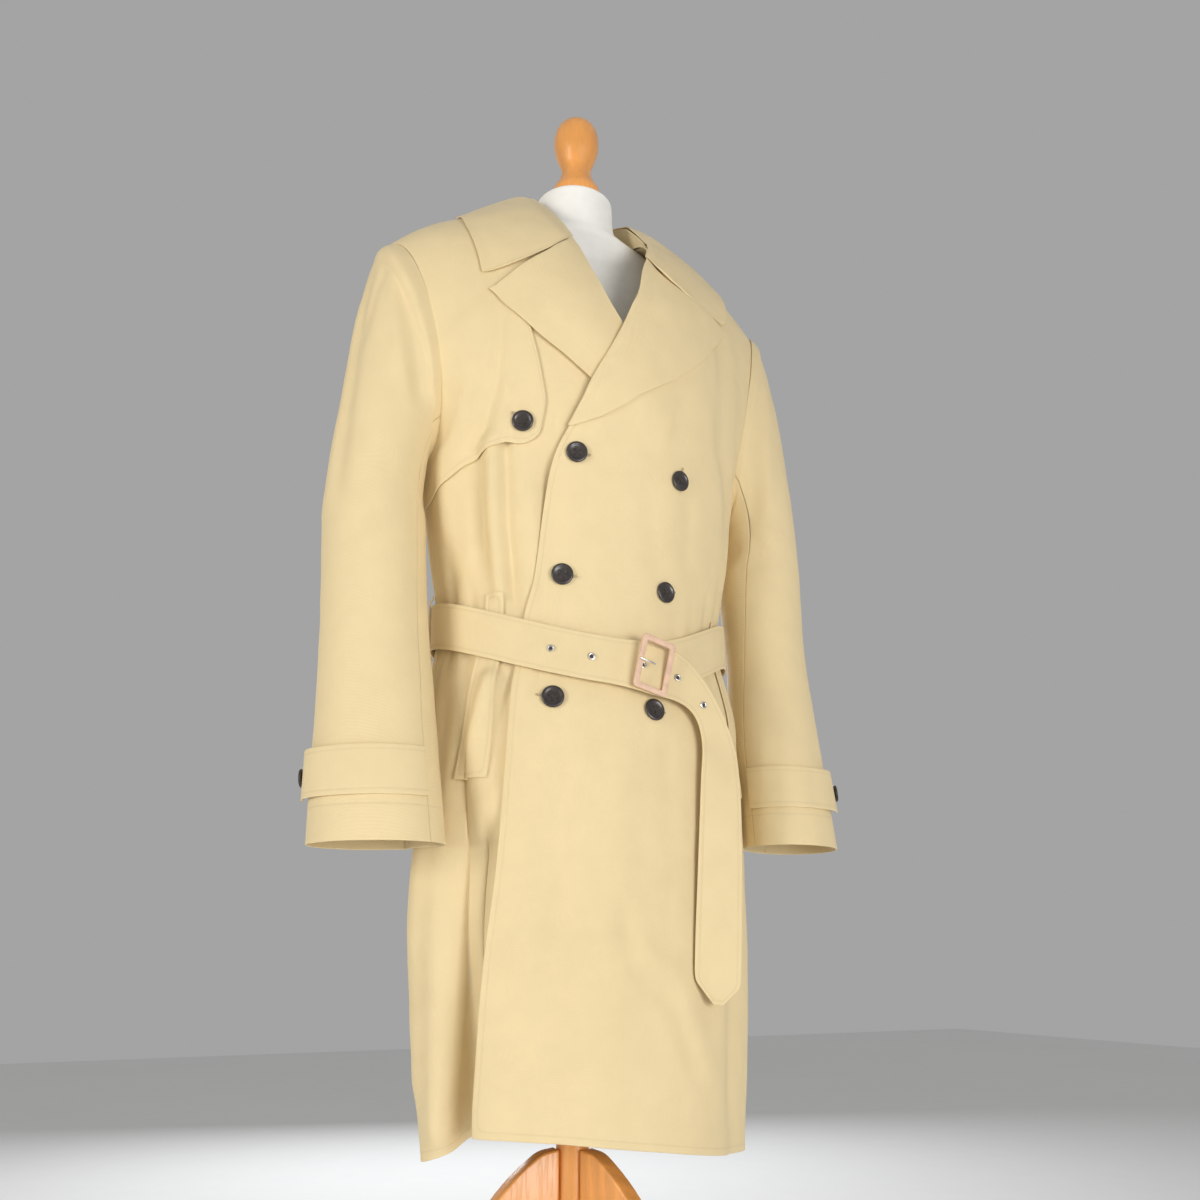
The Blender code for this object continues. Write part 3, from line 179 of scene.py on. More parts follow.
NORMAL_STEP = 0.004  # share of a surface over which its direction is measured


# ---- small helpers
def lerp(a, b, t):
    """Straight mix of two numbers or vectors."""
    return a + (b - a) * t


def smooth(t):
    """Ease from 0 to 1."""
    t = min(max(t, 0.0), 1.0)
    return t * t * (3.0 - 2.0 * t)


def table(rows, key, column):
    """Read a column of a table at a key, on a smooth curve that never passes its rows."""
    if key <= rows[0][0]:
        return rows[0][column]
    last = len(rows) - 1
    for i in range(last):
        if key <= rows[i + 1][0]:
            slopes = [
                (rows[k + 1][column] - rows[k][column]) / (rows[k + 1][0] - rows[k][0])
                for k in range(max(i - 1, 0), min(i + 2, last))
            ]
            here = slopes[min(i, 1)]
            start = easy_slope(slopes[0], here) if i > 0 else here
            stop = easy_slope(here, slopes[-1]) if i < last - 1 else here
            step = rows[i + 1][0] - rows[i][0]
            t = (key - rows[i][0]) / step
            first, second = rows[i][column], rows[i + 1][column]
            bend = (1.0 - t) * (step * (start - here)) - t * (step * (stop - here))
            return lerp(first, second, t) + t * (1.0 - t) * bend
    return rows[-1][column]


def straight(rows, key, column):
    """Read a column of a table at a key, on straight lines between its rows."""
    for low, high in zip(rows, rows[1:]):
        if key <= high[0]:
            t = max(0.0, (key - low[0]) / (high[0] - low[0]))
            return lerp(low[column], high[column], t)
    return rows[-1][column]


def easy_slope(one, two):
    """Slope between two spans that keeps a curve from passing their ends."""
    return 0.0 if one * two <= 0.0 else 2.0 * one * two / (one + two)


def curve(points, t):
    """Point at 0..1 on a smooth curve through evenly timed points."""
    spans = len(points) - 1
    place = min(max(t, 0.0), 1.0) * spans
    i = min(int(place), spans - 1)
    s = place - i
    p1 = points[i]
    p2 = points[i + 1]
    p0 = points[i - 1] if i > 0 else p1 * 2.0 - p2
    p3 = points[i + 2] if i + 2 <= spans else p2 * 2.0 - p1
    a = p1 * 2.0
    b = (p2 - p0) * s
    c = (p0 * 2.0 - p1 * 5.0 + p2 * 4.0 - p3) * (s * s)
    d = (p1 * 3.0 - p0 - p2 * 3.0 + p3) * (s * s * s)
    return (a + b + c + d) * 0.5


# ---- the coat's body
def fold_height(angle, z):
    """Sum of the folds' outward reach at an angle (degrees) and a height."""
    total = 0.0
    for top, bottom, z_top, z_bottom, depth, width in FOLDS:
        along = (z_top - z) / (z_top - z_bottom)
        if along <= 0.0:
            continue
        centre = lerp(top, bottom, min(along, 1.0))
        away = (angle - centre + 180.0) % 360.0 - 180.0
        rise = smooth(along * 2.2)
        if z_bottom > 0.5:
            rise *= smooth((1.0 - along) * 3.0)
        total += depth * rise * exp(-(away / width) ** 2)
    return total


def belt_height(angle):
    """Height of the belt's centre line: low at the front, level over the back."""
    turn = (angle + 180.0) % 360.0 - 180.0
    return 0.836 + 0.05 * smooth(turn / 65.0 if turn > 0.0 else -turn / 100.0)


def waist_nip(z, belt_z):
    """Cloth gathered inwards under the belt."""
    return -0.003 * exp(-((z - belt_z) / 0.04) ** 2)


def shell(angle, z, off=0.0):
    """Point on the body below the armpits, moved out by off."""
    a = radians(angle)
    half = table(SECTIONS, z, HALF)
    depth = table(SECTIONS, z, FRONT if cos(a) > 0 else BACK)
    grow = off + fold_height(angle, z) + waist_nip(z, belt_height(angle))
    x = table(SECTIONS, z, MID_X) + (half + grow) * sin(a)
    y = table(SECTIONS, z, MID_Y) - (depth + grow) * cos(a)
    return Vector((x, y, z))


def armhole(side, phi):
    """Point of an armhole: 0 at the shoulder tip, 90 in front, 180 at the armpit."""
    a = radians(phi)
    p = ARMHOLE_CENTRE + ARMHOLE_TOP * cos(a) + ARMHOLE_FRONT * sin(a)
    return Vector((side * p.x, p.y, p.z))


def neck_point(side):
    """End of the shoulder seam at the neck."""
    return Vector((side * NECK_POINT.x, NECK_POINT.y, NECK_POINT.z))


def shoulder(side, t):
    """Shoulder seam from the neck (0) to the shoulder tip (1), slightly domed."""
    p = lerp(neck_point(side), armhole(side, 0.0), t)
    p.z += 0.009 * sin(pi * t) + 0.008 * sin(pi * t * t)
    return p


def centre_line(side, angle, neckline, t):
    """Centre line from the armpit height (0) round the neckline to the neck point (1)."""
    rows = [shell(angle, PIT_Z)] + [Vector((side * x, y, z)) for x, y, z in neckline]
    return curve(rows + [neck_point(side)], t)


def patch(bottom, top, inner, outer, u, v):
    """Coons patch: u from inner to outer, v from bottom to top."""
    ruled_v = lerp(bottom(u), top(u), v)
    ruled_u = lerp(inner(v), outer(v), u)
    low = lerp(bottom(0.0), bottom(1.0), u)
    high = lerp(top(0.0), top(1.0), u)
    return ruled_v + ruled_u - lerp(low, high, v)


def half_at(w, v, middle, turn, round_arm, neckline):
    """Front or back surface: the shell up to the armpits and a patch on each side above them."""
    if v <= 0.0:
        return shell(middle + turn * w, PIT_Z + v * UPPER)
    side = -1 if w < 0.0 else 1
    return patch(
        lambda t: shell(middle + turn * side * t, PIT_Z),
        lambda t: shoulder(side, t),
        lambda t: centre_line(side, middle, neckline, t),
        lambda t: armhole(side, 180.0 + round_arm * t),
        abs(w), v,
    )


def front_at(w, v):
    """Front surface: w times 90 degrees round from the centre, v up from the armpits."""
    return half_at(w, v, 0.0, 90.0, -180.0, FRONT_NECK)


def back_at(w, v):
    """Back surface, with w = 1 at the wearer's left side seam."""
    return half_at(w, v, 180.0, -90.0, 180.0, BACK_NECK)


def moved_out(surface, w, v, off):
    """Point of a surface moved along its outward normal."""
    p = surface(w, v)
    across = surface(w + NORMAL_STEP, v) - surface(w - NORMAL_STEP, v)
    up = surface(w, v + NORMAL_STEP) - surface(w, v - NORMAL_STEP)
    normal = across.cross(up).normalized()
    if normal.dot(Vector((p.x, p.y, 0.02))) < 0.0:
        normal = -normal
    return p + normal * off


def edge_at(rows, v):
    """Place of a front's edge at a patch height."""
    return table(rows, v, 1)


def hem_v(w):
    """Patch height of the hem on the fronts at a place w."""
    return (table(HEM, 90.0 * w, 1) - PIT_Z) / UPPER


def left_rise(w, v):
    """How far the left front lies out where it laps over the right one."""
    high = lerp(LAP, LAP_CHEST, smooth((v + 0.3) / 0.25))
    over_fold = FOLD_BRIDGE * smooth((-w - 0.48) / 0.12) * smooth((-v - 1.2) / 0.5)
    high *= 1.0 - smooth((v - 0.75) / 0.25)
    return high * (1.0 - smooth((w - 0.3) / 0.3)) + over_fold


def sleeve_ring(side, z, phi):
    """Point of a level sleeve section: 0 outwards, 90 in front, 180 inwards."""
    turn = radians(SLEEVE_TURN)
    a = radians(phi + SLEEVE_TURN)
    along = table(SLEEVE, z, 3) * cos(a)
    across = table(SLEEVE, z, 4) * sin(a)
    x = table(SLEEVE, z, 1) + along * cos(turn) + across * sin(turn)
    y = table(SLEEVE, z, 2) + along * sin(turn) - across * cos(turn)
    low = (SLEEVE[-1][0] - z) / (SLEEVE[-1][0] - SLEEVE[0][0])
    return Vector((side * x, y, z - CUFF_DROP[side] * low))


def clear_of_body(side, p):
    """Push a point of a sleeve out of the coat's side."""
    flare = 0.2 * max(0.0, p.z - PIT_Z)
    mid_x = table(SECTIONS, p.z, MID_X)
    mid_y = table(SECTIONS, p.z, MID_Y)
    half = table(SECTIONS, p.z, HALF)
    depth = table(SECTIONS, p.z, FRONT if p.y < mid_y else BACK)
    angle = degrees(atan2((p.x - mid_x) / half, (mid_y - p.y) / depth))
    room = SLEEVE_ROOM + flare
    if side < 0 and p.z > PIT_Z - RIGHT_ROOM_LOW:
        room += RIGHT_ROOM * smooth((p.z - PIT_Z + RIGHT_ROOM_LOW) / RIGHT_ROOM_BLEND)
    limit = shell(angle, p.z, room)
    reach = Vector((p.x - mid_x, p.y - mid_y)).length
    bound = Vector((limit.x - mid_x, limit.y - mid_y)).length
    if reach >= bound:
        return p
    return limit


def sleeve_at(side, t, phi):
    """Sleeve surface from the armhole (t = 0) to the cuff's edge (t = 1)."""
    p = free_sleeve(side, t, phi)
    if t <= SLEEVE_FREE:
        return p
    return lerp(p, clear_of_body(side, p), smooth((t - SLEEVE_FREE) / SLEEVE_BLEND))


def free_sleeve(side, t, phi):
    """The same as it would hang with nothing beside it."""
    top = SLEEVE[-1][0]
    if t >= CAP_SHARE:
        z = lerp(top, SLEEVE[0][0], (t - CAP_SHARE) / (1.0 - CAP_SHARE))
        return sleeve_ring(side, z, phi)
    under = (0.5 - 0.5 * cos(radians(phi))) ** 2
    gap = side * lerp(SLEEVE_GAP, SLEEVE_GAP_PIT, under)
    start = armhole(side, phi) + Vector((gap, 0.0, 0.0))
    end = sleeve_ring(side, top, phi)
    outward = 0.5 + 0.5 * cos(radians(phi))
    bend = Vector((end.x - side * lerp(PIT_EASE, CAP_PULL, outward), end.y, 0.0))
    bend.z = lerp(lerp(start.z, end.z, 0.45), start.z - 0.02, outward)
    bend.y = lerp(start.y, end.y, 0.5)
    s = t / CAP_SHARE
    return start * (1.0 - s) ** 2 + bend * (2.0 * s * (1.0 - s)) + end * (s * s)


def sleeve_out(side, t, phi, off):
    """Sleeve surface moved outwards."""
    p = sleeve_at(side, t, phi)
    along = sleeve_at(side, min(t + NORMAL_STEP, 1.0), phi) - sleeve_at(side, max(t - NORMAL_STEP, 0.0), phi)
    around = sleeve_at(side, t, phi + 1.0) - sleeve_at(side, t, phi - 1.0)
    return p + around.cross(along).normalized() * (off * side)


# ---- creases, listed one by one
# Each row: depth (negative for a trough), half width, then an angle and a height for each of its points.
# On the body the angle goes round from the centre front (wearer's left positive), and on a sleeve from
# its outer side towards the front. Lengths are in mm.
MM = 0.001
BODY_ROUND = 0.15  # metres of cloth in a radian round the body
SLEEVE_ROUND = 0.052  # and round a sleeve
CREASES = {
    "left_front": (
        (-2, 17, 56, 1250, 52, 1172, 53, 1104, 66, 1039),
        (1.6, 13, 48, 1235, 45, 1165, 46, 1105, 56, 1040),
        (-1.6, 12, 44, 1178, 48, 1101, 32, 1031, 34, 964),
        (-1, 20, -22, 1120, -4, 1104, 20, 1110, 34, 1124),
        (-1.2, 16, -36, 1035, -38, 975, -40, 925), (0.9, 13, -30, 1010, -33, 960, -35, 920),
        (-0.8, 24, -12, 1030, -4, 985, -8, 940), (-1, 16, 10, 1010, 14, 960, 20, 915),
        (-2.2, 11, -51, 533, -34, 538, -16, 544, -3, 556, -8, 589),
        (1.8, 12, -46, 550, -30, 556, -16, 564), (-2.4, 12, -3, 546, 13, 517, 25, 450),
        (1.7, 12, 2, 556, 19, 520, 31, 452), (-1.2, 10, -45, 457, -36, 418),
        (-0.7, 7, -34, 480, -23, 468), (-2.2, 20, -33, 760, -32, 659, -33, 577),
        (-2.2, 22, 15, 752, 16, 653, 12, 560), (1.8, 22, -8, 740, -9, 640, -12, 520),
        (-2, 18, 66, 770, 58, 609, 53, 493, 50, 420),
        (1.5, 20, 44, 760, 40, 600, 38, 450), (-1.8, 18, 84, 1020, 82, 960, 85, 915),
        (-1.6, 16, 84, 800, 82, 700, 84, 600),
    ),
    "right_front": (
        (-1.8, 15, -73, 1012, -76, 959, -80, 912), (1.4, 12, -80, 1017, -82, 958, -84, 915),
        (4.2, 8, -59, 1068, -60, 985, -58, 905), (-4.4, 7, -55, 1072, -55.5, 985, -54, 905),
        (2, 10, -46, 1010, -46, 960, -45, 915), (-3, 13, -38, 1040, -38, 980, -39, 915),
        (6.8, 9, -59, 815, -64, 745, -67, 675, -69, 600, -72, 480, -74, 400),
        (-3.4, 8, -53, 815, -56, 760, -56, 720), (-9.5, 15, -57, 660, -57, 600, -60, 500, -63, 390),
        (-5.5, 10, -63, 650, -64, 560, -67, 450, -69, 390), (2.2, 7, -48, 800, -50, 740, -50, 690),
        (-2.6, 12, -77, 800, -76, 740, -76, 660, -79, 520),
        (1.8, 12, -82, 790, -83, 700, -84, 560, -84, 440), (-1.6, 16, -87, 780, -88, 640, -87, 470),
    ),
    "back": (
        (-2.2, 22, 150, 1090, 146, 1020, 143, 950), (1.8, 20, 159, 1080, 156, 1010, 153, 950),
        (-2, 22, -146, 1080, -143, 1010, -141, 955), (-1.4, 26, 178, 1030, 176, 980, 178, 935),
        (-1.8, 20, 120, 1160, 128, 1110, 131, 1040), (-1.8, 20, -118, 1165, -127, 1105, -131, 1035),
        (1.5, 18, 110, 1150, 118, 1090, 121, 1020), (-1.4, 24, 164, 1250, 176, 1236, -172, 1252),
        (-1.2, 20, 150, 1330, 168, 1352, -176, 1356, -160, 1346),
        (-2, 24, -172, 800, -173, 700, -170, 520), (1.8, 24, -163, 790, -163, 680, -160, 480),
        (-2.2, 22, 150, 795, 148, 690, 150, 470), (1.6, 24, 133, 780, 132, 640, 130, 470),
        (-2, 22, -128, 790, -127, 650, -129, 480), (-1.6, 18, 104, 1020, 106, 960, 110, 915),
        (-1.6, 18, -102, 1030, -105, 965, -108, 918),
    ),
    "gun_flap": (
        (-1.5, 10, -51, 1104, -56, 1120, -63, 1145), (1, 8, -52, 1120, -56, 1133, -62, 1158),
        (-1.2, 13, -61, 1196, -58, 1154, -54, 1118), (-1.3, 16, -76, 1307, -70, 1236, -68, 1174),
        (-0.9, 14, -54, 1276, -53, 1234, -50, 1194), (-1.4, 14, -80, 1215, -79, 1150, -77, 1080),
    ),
    "right_lapel": (
        (-1, 16, -45, 1230, -34, 1196, -24, 1165),
    ),
    "left_lapel": (
        (-1, 15, -9, 1181, 8, 1210, 28, 1240), (0.8, 12, -14, 1196, 2, 1226, 20, 1256),
    ),
    "collar": (
        (-0.9, 14, -68, 1350, -60, 1325), (-0.9, 14, 64, 1356, 56, 1330),
    ),
    "right_top_sleeve": (
        (-2.6, 13, 2, 1262, 19, 1150, 20, 1071, 24, 990), (2, 12, -14, 1250, 2, 1144, 4, 1060, 6, 985),
        (-2.2, 8, 98, 1245, 110, 1190, 118, 1120), (1.6, 7, 84, 1250, 92, 1190, 103, 1130),
        (-1.6, 8, 64, 1283, 42, 1245, 32, 1200), (-2.6, 10, 8, 985, 50, 945, 100, 890),
        (2, 9, 10, 962, 50, 922, 92, 876), (-2.2, 10, 4, 938, 45, 900, 86, 860),
        (-1.8, 9, 118, 1037, 98, 1000, 68, 970), (-1.6, 14, 36, 850, 44, 792, 47, 752),
        (-2, 13, -60, 1190, -50, 1100, -45, 1000),
        (-1.8, 10, -30, 905, -70, 935, -105, 985), (1.6, 10, -28, 882, -70, 910, -100, 955),
        (-1.6, 12, -40, 860, -32, 800, -30, 750), (-2, 9, -95, 1250, -105, 1195, -112, 1130),
    ),
    "right_under_sleeve": (
        (-2, 11, 150, 1010, 175, 975, 205, 960), (-1.8, 11, 150, 935, 178, 905, 210, 900),
        (1.4, 10, 150, 972, 175, 940, 205, 930),
    ),
    "left_top_sleeve": (
        (-2.6, 10, 125, 1006, 102, 965, 55, 935), (2, 9, 122, 984, 100, 944, 58, 915),
        (-2, 9, 140, 1055, 120, 1018, 98, 1003), (-2, 9, 120, 905, 95, 880, 60, 872),
        (-1.8, 11, 116, 1220, 126, 1150, 124, 1060), (1.5, 10, 100, 1230, 108, 1150, 108, 1070),
        (-1.4, 13, 112, 880, 108, 818, 108, 765), (-2.2, 13, 20, 1240, 10, 1140, 4, 1010),
        (1.6, 13, 38, 1230, 30, 1130, 26, 1020), (-1.8, 10, -20, 940, -60, 968, -95, 1000),
        (-1.6, 9, -10, 890, -55, 915, -90, 950),
        (-1.8, 13, -50, 1180, -58, 1090, -55, 1010), (-1.4, 12, 10, 860, 4, 800, 2, 755),
        (-2, 9, -92, 1245, -104, 1190, -110, 1130),
    ),
    "left_under_sleeve": (
        (-2, 11, 158, 1020, 185, 985, 215, 975), (-1.8, 11, 165, 945, 190, 915, 215, 905),
        (1.4, 10, 160, 980, 185, 950, 212, 940),
    ),
}

# Gathers drawn in by the belt: angle, depth (mm), half width (degrees), reach above and below (mm)
GATHERS = (
    (-86, -2.4, 2.6, 75, 90), (-79, -2, 2.2, 95, 60), (-70, -2.2, 2.4, 60, 110),
    (-52, -1.6, 2.2, 60, 70), (-41.5, -1.8, 1.9, 95, 80), (-34, -1.2, 2.2, 60, 60),
    (-20, -0.9, 3.2, 45, 55), (2, -0.8, 3.4, 40, 50), (28, -1.2, 2.6, 50, 45),
    (39, -1.6, 2.4, 60, 60), (51, -1.9, 2.2, 70, 70), (62, -2, 2.4, 85, 80),
    (75, -2.4, 2.6, 70, 95), (89, -2, 2.4, 80, 70), (103, -2.4, 3, 85, 90),
    (117, -2, 2.8, 60, 80), (131, -2.6, 3, 90, 70), (146, -2, 2.6, 70, 95),
    (160, -2.4, 3, 80, 80), (174, -2.2, 2.8, 60, 70), (-171, -2.4, 3, 85, 90),
    (-157, -2, 2.6, 70, 60), (-142, -2.6, 3, 90, 85), (-127, -2, 2.8, 65, 75),
    (-113, -2.4, 2.8, 80, 90), (-99, -2.2, 2.6, 70, 70),
)
BELT_CALM = 0.024  # the cloth lies smooth this far above and below the belt's middle
UNEVEN_SLOW = 0.001  # height and pitch of the cloth's slow unevenness
UNEVEN_SLOW_PITCH = 9.0
UNEVEN_QUICK = 0.0004  # and of its quick one
UNEVEN_QUICK_PITCH = 30.0


def from_path(s, z, points):
    """Distance in the unrolled cloth from a place to a line through points."""
    nearest = FAR
    for (s0, z0), (s1, z1) in zip(points, points[1:]):
        ds = s1 - s0
        dz = z1 - z0
        t = ((s - s0) * ds + (z - z0) * dz) / (ds * ds + dz * dz)
        t = min(max(t, 0.0), 1.0)
        nearest = min(nearest, (s - s0 - ds * t) ** 2 + (z - z0 - dz * t) ** 2)
    return sqrt(nearest)


def unrolled(name):
    """A piece's creases in metres of unrolled cloth."""
    reach = radians(1.0) * (SLEEVE_ROUND if "sleeve" in name else BODY_ROUND)
    return [
        (row[0] * MM, row[1] * MM, [(angle * reach, z * MM) for angle, z in zip(row[2::2], row[3::2])])
        for row in CREASES.get(name, ())
    ]


def crease_height(lines, s, z):
    """Sum of the creases at a place of the unrolled cloth, fading out at their ends."""
    total = 0.0
    for depth, width, points in lines:
        away = from_path(s, z, points) / width
        if away < 3.0:
            total += depth * exp(-away * away)
    return total


def gather_height(angle, z):
    """Pleats drawn in above and below the belt."""
    rise = z - belt_height(angle)
    total = 0.0
    for centre, depth, width, above, below in GATHERS:
        away = ((angle - centre + 180.0) % 360.0 - 180.0) / width
        reach = MM * (above if rise > 0.0 else below)
        if abs(away) < 3.0 and abs(rise) < reach * 1.6:
            total += depth * MM * exp(-away * away) * exp(-(abs(rise) / reach) ** 2 * 1.6)
    return total


def unevenness(p):
    """Slow and quick unevenness of the cloth at a point."""
    return (UNEVEN_SLOW * noise.noise(p * UNEVEN_SLOW_PITCH)
            + UNEVEN_QUICK * noise.noise(p * UNEVEN_QUICK_PITCH))


def body_lift(name):
    """Height of the creases, gathers and unevenness of a piece worn on the body."""
    lines = unrolled(name)

    def lift(p):
        angle = degrees(atan2(p.x, MID_DEPTH - p.y))
        near_belt = exp(-((p.z - belt_height(angle)) / BELT_CALM) ** 2)
        total = crease_height(lines, radians(angle) * BODY_ROUND, p.z)
        if name == "back":
            for turn in (2.0 * pi, -2.0 * pi):
                total += crease_height(lines, (radians(angle) + turn) * BODY_ROUND, p.z)
        return (total + unevenness(p)) * (1.0 - near_belt) + gather_height(angle, p.z)
    return lift


def sleeve_lift(name, side):
    """The same for a sleeve, measured round its middle line."""
    lines = unrolled(name)

    def lift(p):
        middle_x = side * table(SLEEVE, p.z, 1)
        middle_y = table(SLEEVE, p.z, 2)
        turn = atan2(middle_y - p.y, side * (p.x - middle_x))
        if turn < 0.0 and "under" in name:
            turn += 2.0 * pi
        edge = smooth((ARMHOLE_FADE - abs(p.z - ARMHOLE_CENTRE.z)) / ARMHOLE_FADE + 0.9)
        return crease_height(lines, turn * SLEEVE_ROUND, p.z) * edge + unevenness(p)
    return lift


# ---- makers of the dressed pieces
CRISP_EDGE = 0.0012  # the two loops of faces beside a cloth's edge end this far in
CRISP_INNER = 0.0038
FAR = 9.0  # farther than anything in the scene
SETTLED = 0.00005  # a sheet that is lifted by less than this has settled
SEEN = 0.1  # points that face outwards by less than this don't carry a sheet
SPREAD = 0.92  # share of its neighbours' lift that a point takes on
STIFF_REACH = 0.02  # how far a stiff piece is moved at most
STIFF_NEAR = 0.08  # points farther off than this can't touch it


def settings():
    """The coat's sizes and colours, as the panel shows them."""
    return bpy.context.scene.coat


def add_piece(name, builder, finish, wall=0.0, levels=0, sharp=None):
    """Turn a bmesh in the post's frame into a named piece in the model's frame."""
    bmesh.ops.translate(builder, verts=builder.verts, vec=SHIFT)
    mesh = bpy.data.meshes.new(name)
    builder.to_mesh(mesh)
    builder.free()
    mesh.shade_smooth()
    if sharp:
        mesh.set_sharp_from_angle(angle=radians(sharp))
    mesh.materials.append(finish)
    made = bpy.data.objects.new(name, mesh)
    bpy.context.scene.collection.objects.link(made)
    if wall:
        thick = made.modifiers.new("wall", 'SOLIDIFY')
        thick.thickness = wall
        thick.offset = 1.0
    if levels:
        soft = made.modifiers.new("soft edges", 'SUBSURF')
        soft.levels = levels
        soft.render_levels = levels
    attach(made, "root")
    return made


def marks(count, length):
    """Shares along a cloth of a length, close together at both ends so that its edges stay crisp."""
    near = [0.0, CRISP_EDGE / length]
    first = CRISP_INNER / length
    middle = [lerp(first, 1.0 - first, k / (count - 4)) for k in range(count - 3)]
    return near + middle + [1.0 - share for share in near[::-1]]


def lay(name, place, columns, rows, cut, lift=None, flip=False, seams="", inset=0.005):
    """Cloth wall laid on a surface, creased, with its lengths mapped and its stitch lines measured."""
    shares = marks(columns, cut[0])
    heights = marks(rows, cut[1])
    grid = bmesh.new()
    bmesh.ops.create_grid(grid, x_segments=columns, y_segments=rows, size=0.5)
    uv = grid.loops.layers.uv.new("lengths")
    seam = grid.verts.layers.float.new("seam")
    run = grid.verts.layers.float.new("run")
    at = {}
    for vert in grid.verts:
        i = round((vert.co.x + 0.5) * columns)
        j = round((vert.co.y + 0.5) * rows)
        at[i, j] = vert
        vert.co = place(shares[i], heights[j])
    if flip:
        bmesh.ops.reverse_faces(grid, faces=grid.faces)
    grid.normal_update()
    if lift:
        moves = [(vert, vert.normal * (lift(vert.co) * settings().crease_depth)) for vert in grid.verts]
        for vert, move in moves:
            vert.co += move
    across = {}
    along = {}
    for j in range(rows + 1):
        across[0, j] = 0.0
        for i in range(1, columns + 1):
            across[i, j] = across[i - 1, j] + (at[i, j].co - at[i - 1, j].co).length
    for i in range(columns + 1):
        along[i, 0] = 0.0
        for j in range(1, rows + 1):
            along[i, j] = along[i, j - 1] + (at[i, j].co - at[i, j - 1].co).length
    places = {}
    for (i, j), vert in at.items():
        width = across[columns, j]
        height = along[i, rows]
        places[vert] = (across[i, j] - 0.5 * width, along[i, j])
        reach = {
            "left": (across[i, j], along[i, j]),
            "right": (width - across[i, j], along[i, j]),
            "low": (along[i, j], across[i, j]),
            "high": (height - along[i, j], across[i, j]),
        }
        near = min([(FAR, 0.0)] + [reach[edge] for edge in seams.split()])
        vert[seam] = near[0] - inset
        vert[run] = near[1]
    for face in grid.faces:
        for loop in face.loops:
            loop[uv].uv = places[loop.vert]
    return add_piece(name, grid, gabardine(), settings().cloth_wall, 1)


OUTER = {}


def outer_of(item):
    """Points, their normals and a search tree of a finished piece."""
    if item.name not in OUTER:
        bpy.context.view_layer.update()
        shaped = item.evaluated_get(bpy.context.evaluated_depsgraph_get())
        mesh = shaped.to_mesh()
        points = [(v.co.copy(), v.normal.copy()) for v in mesh.vertices]
        tree = BVHTree.FromPolygons([p for p, _ in points], [tuple(f.vertices) for f in mesh.polygons])
        shaped.to_mesh_clear()
        OUTER[item.name] = (points, tree)
    return OUTER[item.name]


def body_out(point):
    """Direction that leads straight away from the worn coat's body."""
    p = point - SHIFT
    return Vector((0.37 * p.x, p.y - MID_DEPTH, max(0.0, p.z - CHEST_Z))).normalized()


def arm_out(side, point):
    """Direction that leads straight away from the sleeve's middle line."""
    p = point - SHIFT
    return (p - Vector((side * table(SLEEVE, p.z, 1), table(SLEEVE, p.z, 2), p.z))).normalized()


def settle(top, beneath, out=body_out, rounds=5, spread=6):
    """Lift a sheet softly until it clears the pieces beneath it."""
    mesh = top.data
    beside = [[] for _ in mesh.vertices]
    for edge in mesh.edges:
        one, two = edge.vertices
        beside[one].append(two)
        beside[two].append(one)
    for turn in range(rounds):
        lift = [0.0] * len(mesh.vertices)
        corners = [v.co.copy() for v in mesh.vertices]
        ways = [out(p) for p in corners]
        own = BVHTree.FromPolygons(corners, [tuple(f.vertices) for f in mesh.polygons])
        for item in beneath:
            points, tree = outer_of(item)
            for k, point in enumerate(corners):
                way = ways[k]
                hit = tree.ray_cast(point + way * REACH, -way, REACH + REST)
                if hit[0] is not None:
                    lift[k] = max(lift[k], REACH + REST - hit[3])
            for point, normal in points:
                way = out(point)
                if way.dot(normal) < SEEN:
                    continue
                hit = own.ray_cast(point - way * REACH, way, REACH + REST)
                if hit[0] is not None:
                    for k in mesh.polygons[hit[2]].vertices:
                        lift[k] = max(lift[k], REACH + REST - hit[3])
        if max(lift) < SETTLED:
            break
        for _ in range(spread if turn < rounds - 2 else 1):
            lift = [
                max(rise, SPREAD * sum(lift[n] for n in near) / len(near))
                for rise, near in zip(lift, beside)
            ]
        for k, vert in enumerate(mesh.vertices):
            vert.co = corners[k] + ways[k] * lift[k]
    mesh.update()
    OUTER.pop(top.name, None)
    return top


def rest_on(item, beneath, out):
    """Move a stiff piece along a direction until it just clears the pieces beneath it."""
    points, own = outer_of(item)
    moves = []
    near = points[0][0]
    for other in beneath:
        others, tree = outer_of(other)
        for point, _ in points:
            hit = tree.ray_cast(point + out * STIFF_REACH, -out, 2.0 * STIFF_REACH)
            if hit[0] is not None:
                moves.append(STIFF_REACH - hit[3])
        for point, _ in others:
            if (point - near).length < STIFF_NEAR:
                hit = own.ray_cast(point - out * STIFF_REACH, out, 2.0 * STIFF_REACH)
                if hit[0] is not None:
                    moves.append(STIFF_REACH - hit[3])
    item.data.transform(Matrix.Translation(out * (max(moves) + REST)))
    OUTER.pop(item.name, None)
    return item


def turned(builder, profile, steps, at=(0.0, 0.0)):
    """Add a solid turned round an upright axis from radius and height pairs, bottom first."""
    verts = [builder.verts.new((at[0] + r, at[1], z)) for r, z in profile]
    edges = [builder.edges.new(pair) for pair in zip(verts, verts[1:])]
    bmesh.ops.spin(builder, geom=verts + edges, cent=(at[0], at[1], 0.0), axis=(0, 0, 1),
                   angle=2.0 * pi, steps=steps, use_merge=True)
    bmesh.ops.remove_doubles(builder, verts=builder.verts, dist=1e-6)
    bmesh.ops.recalc_face_normals(builder, faces=builder.faces)


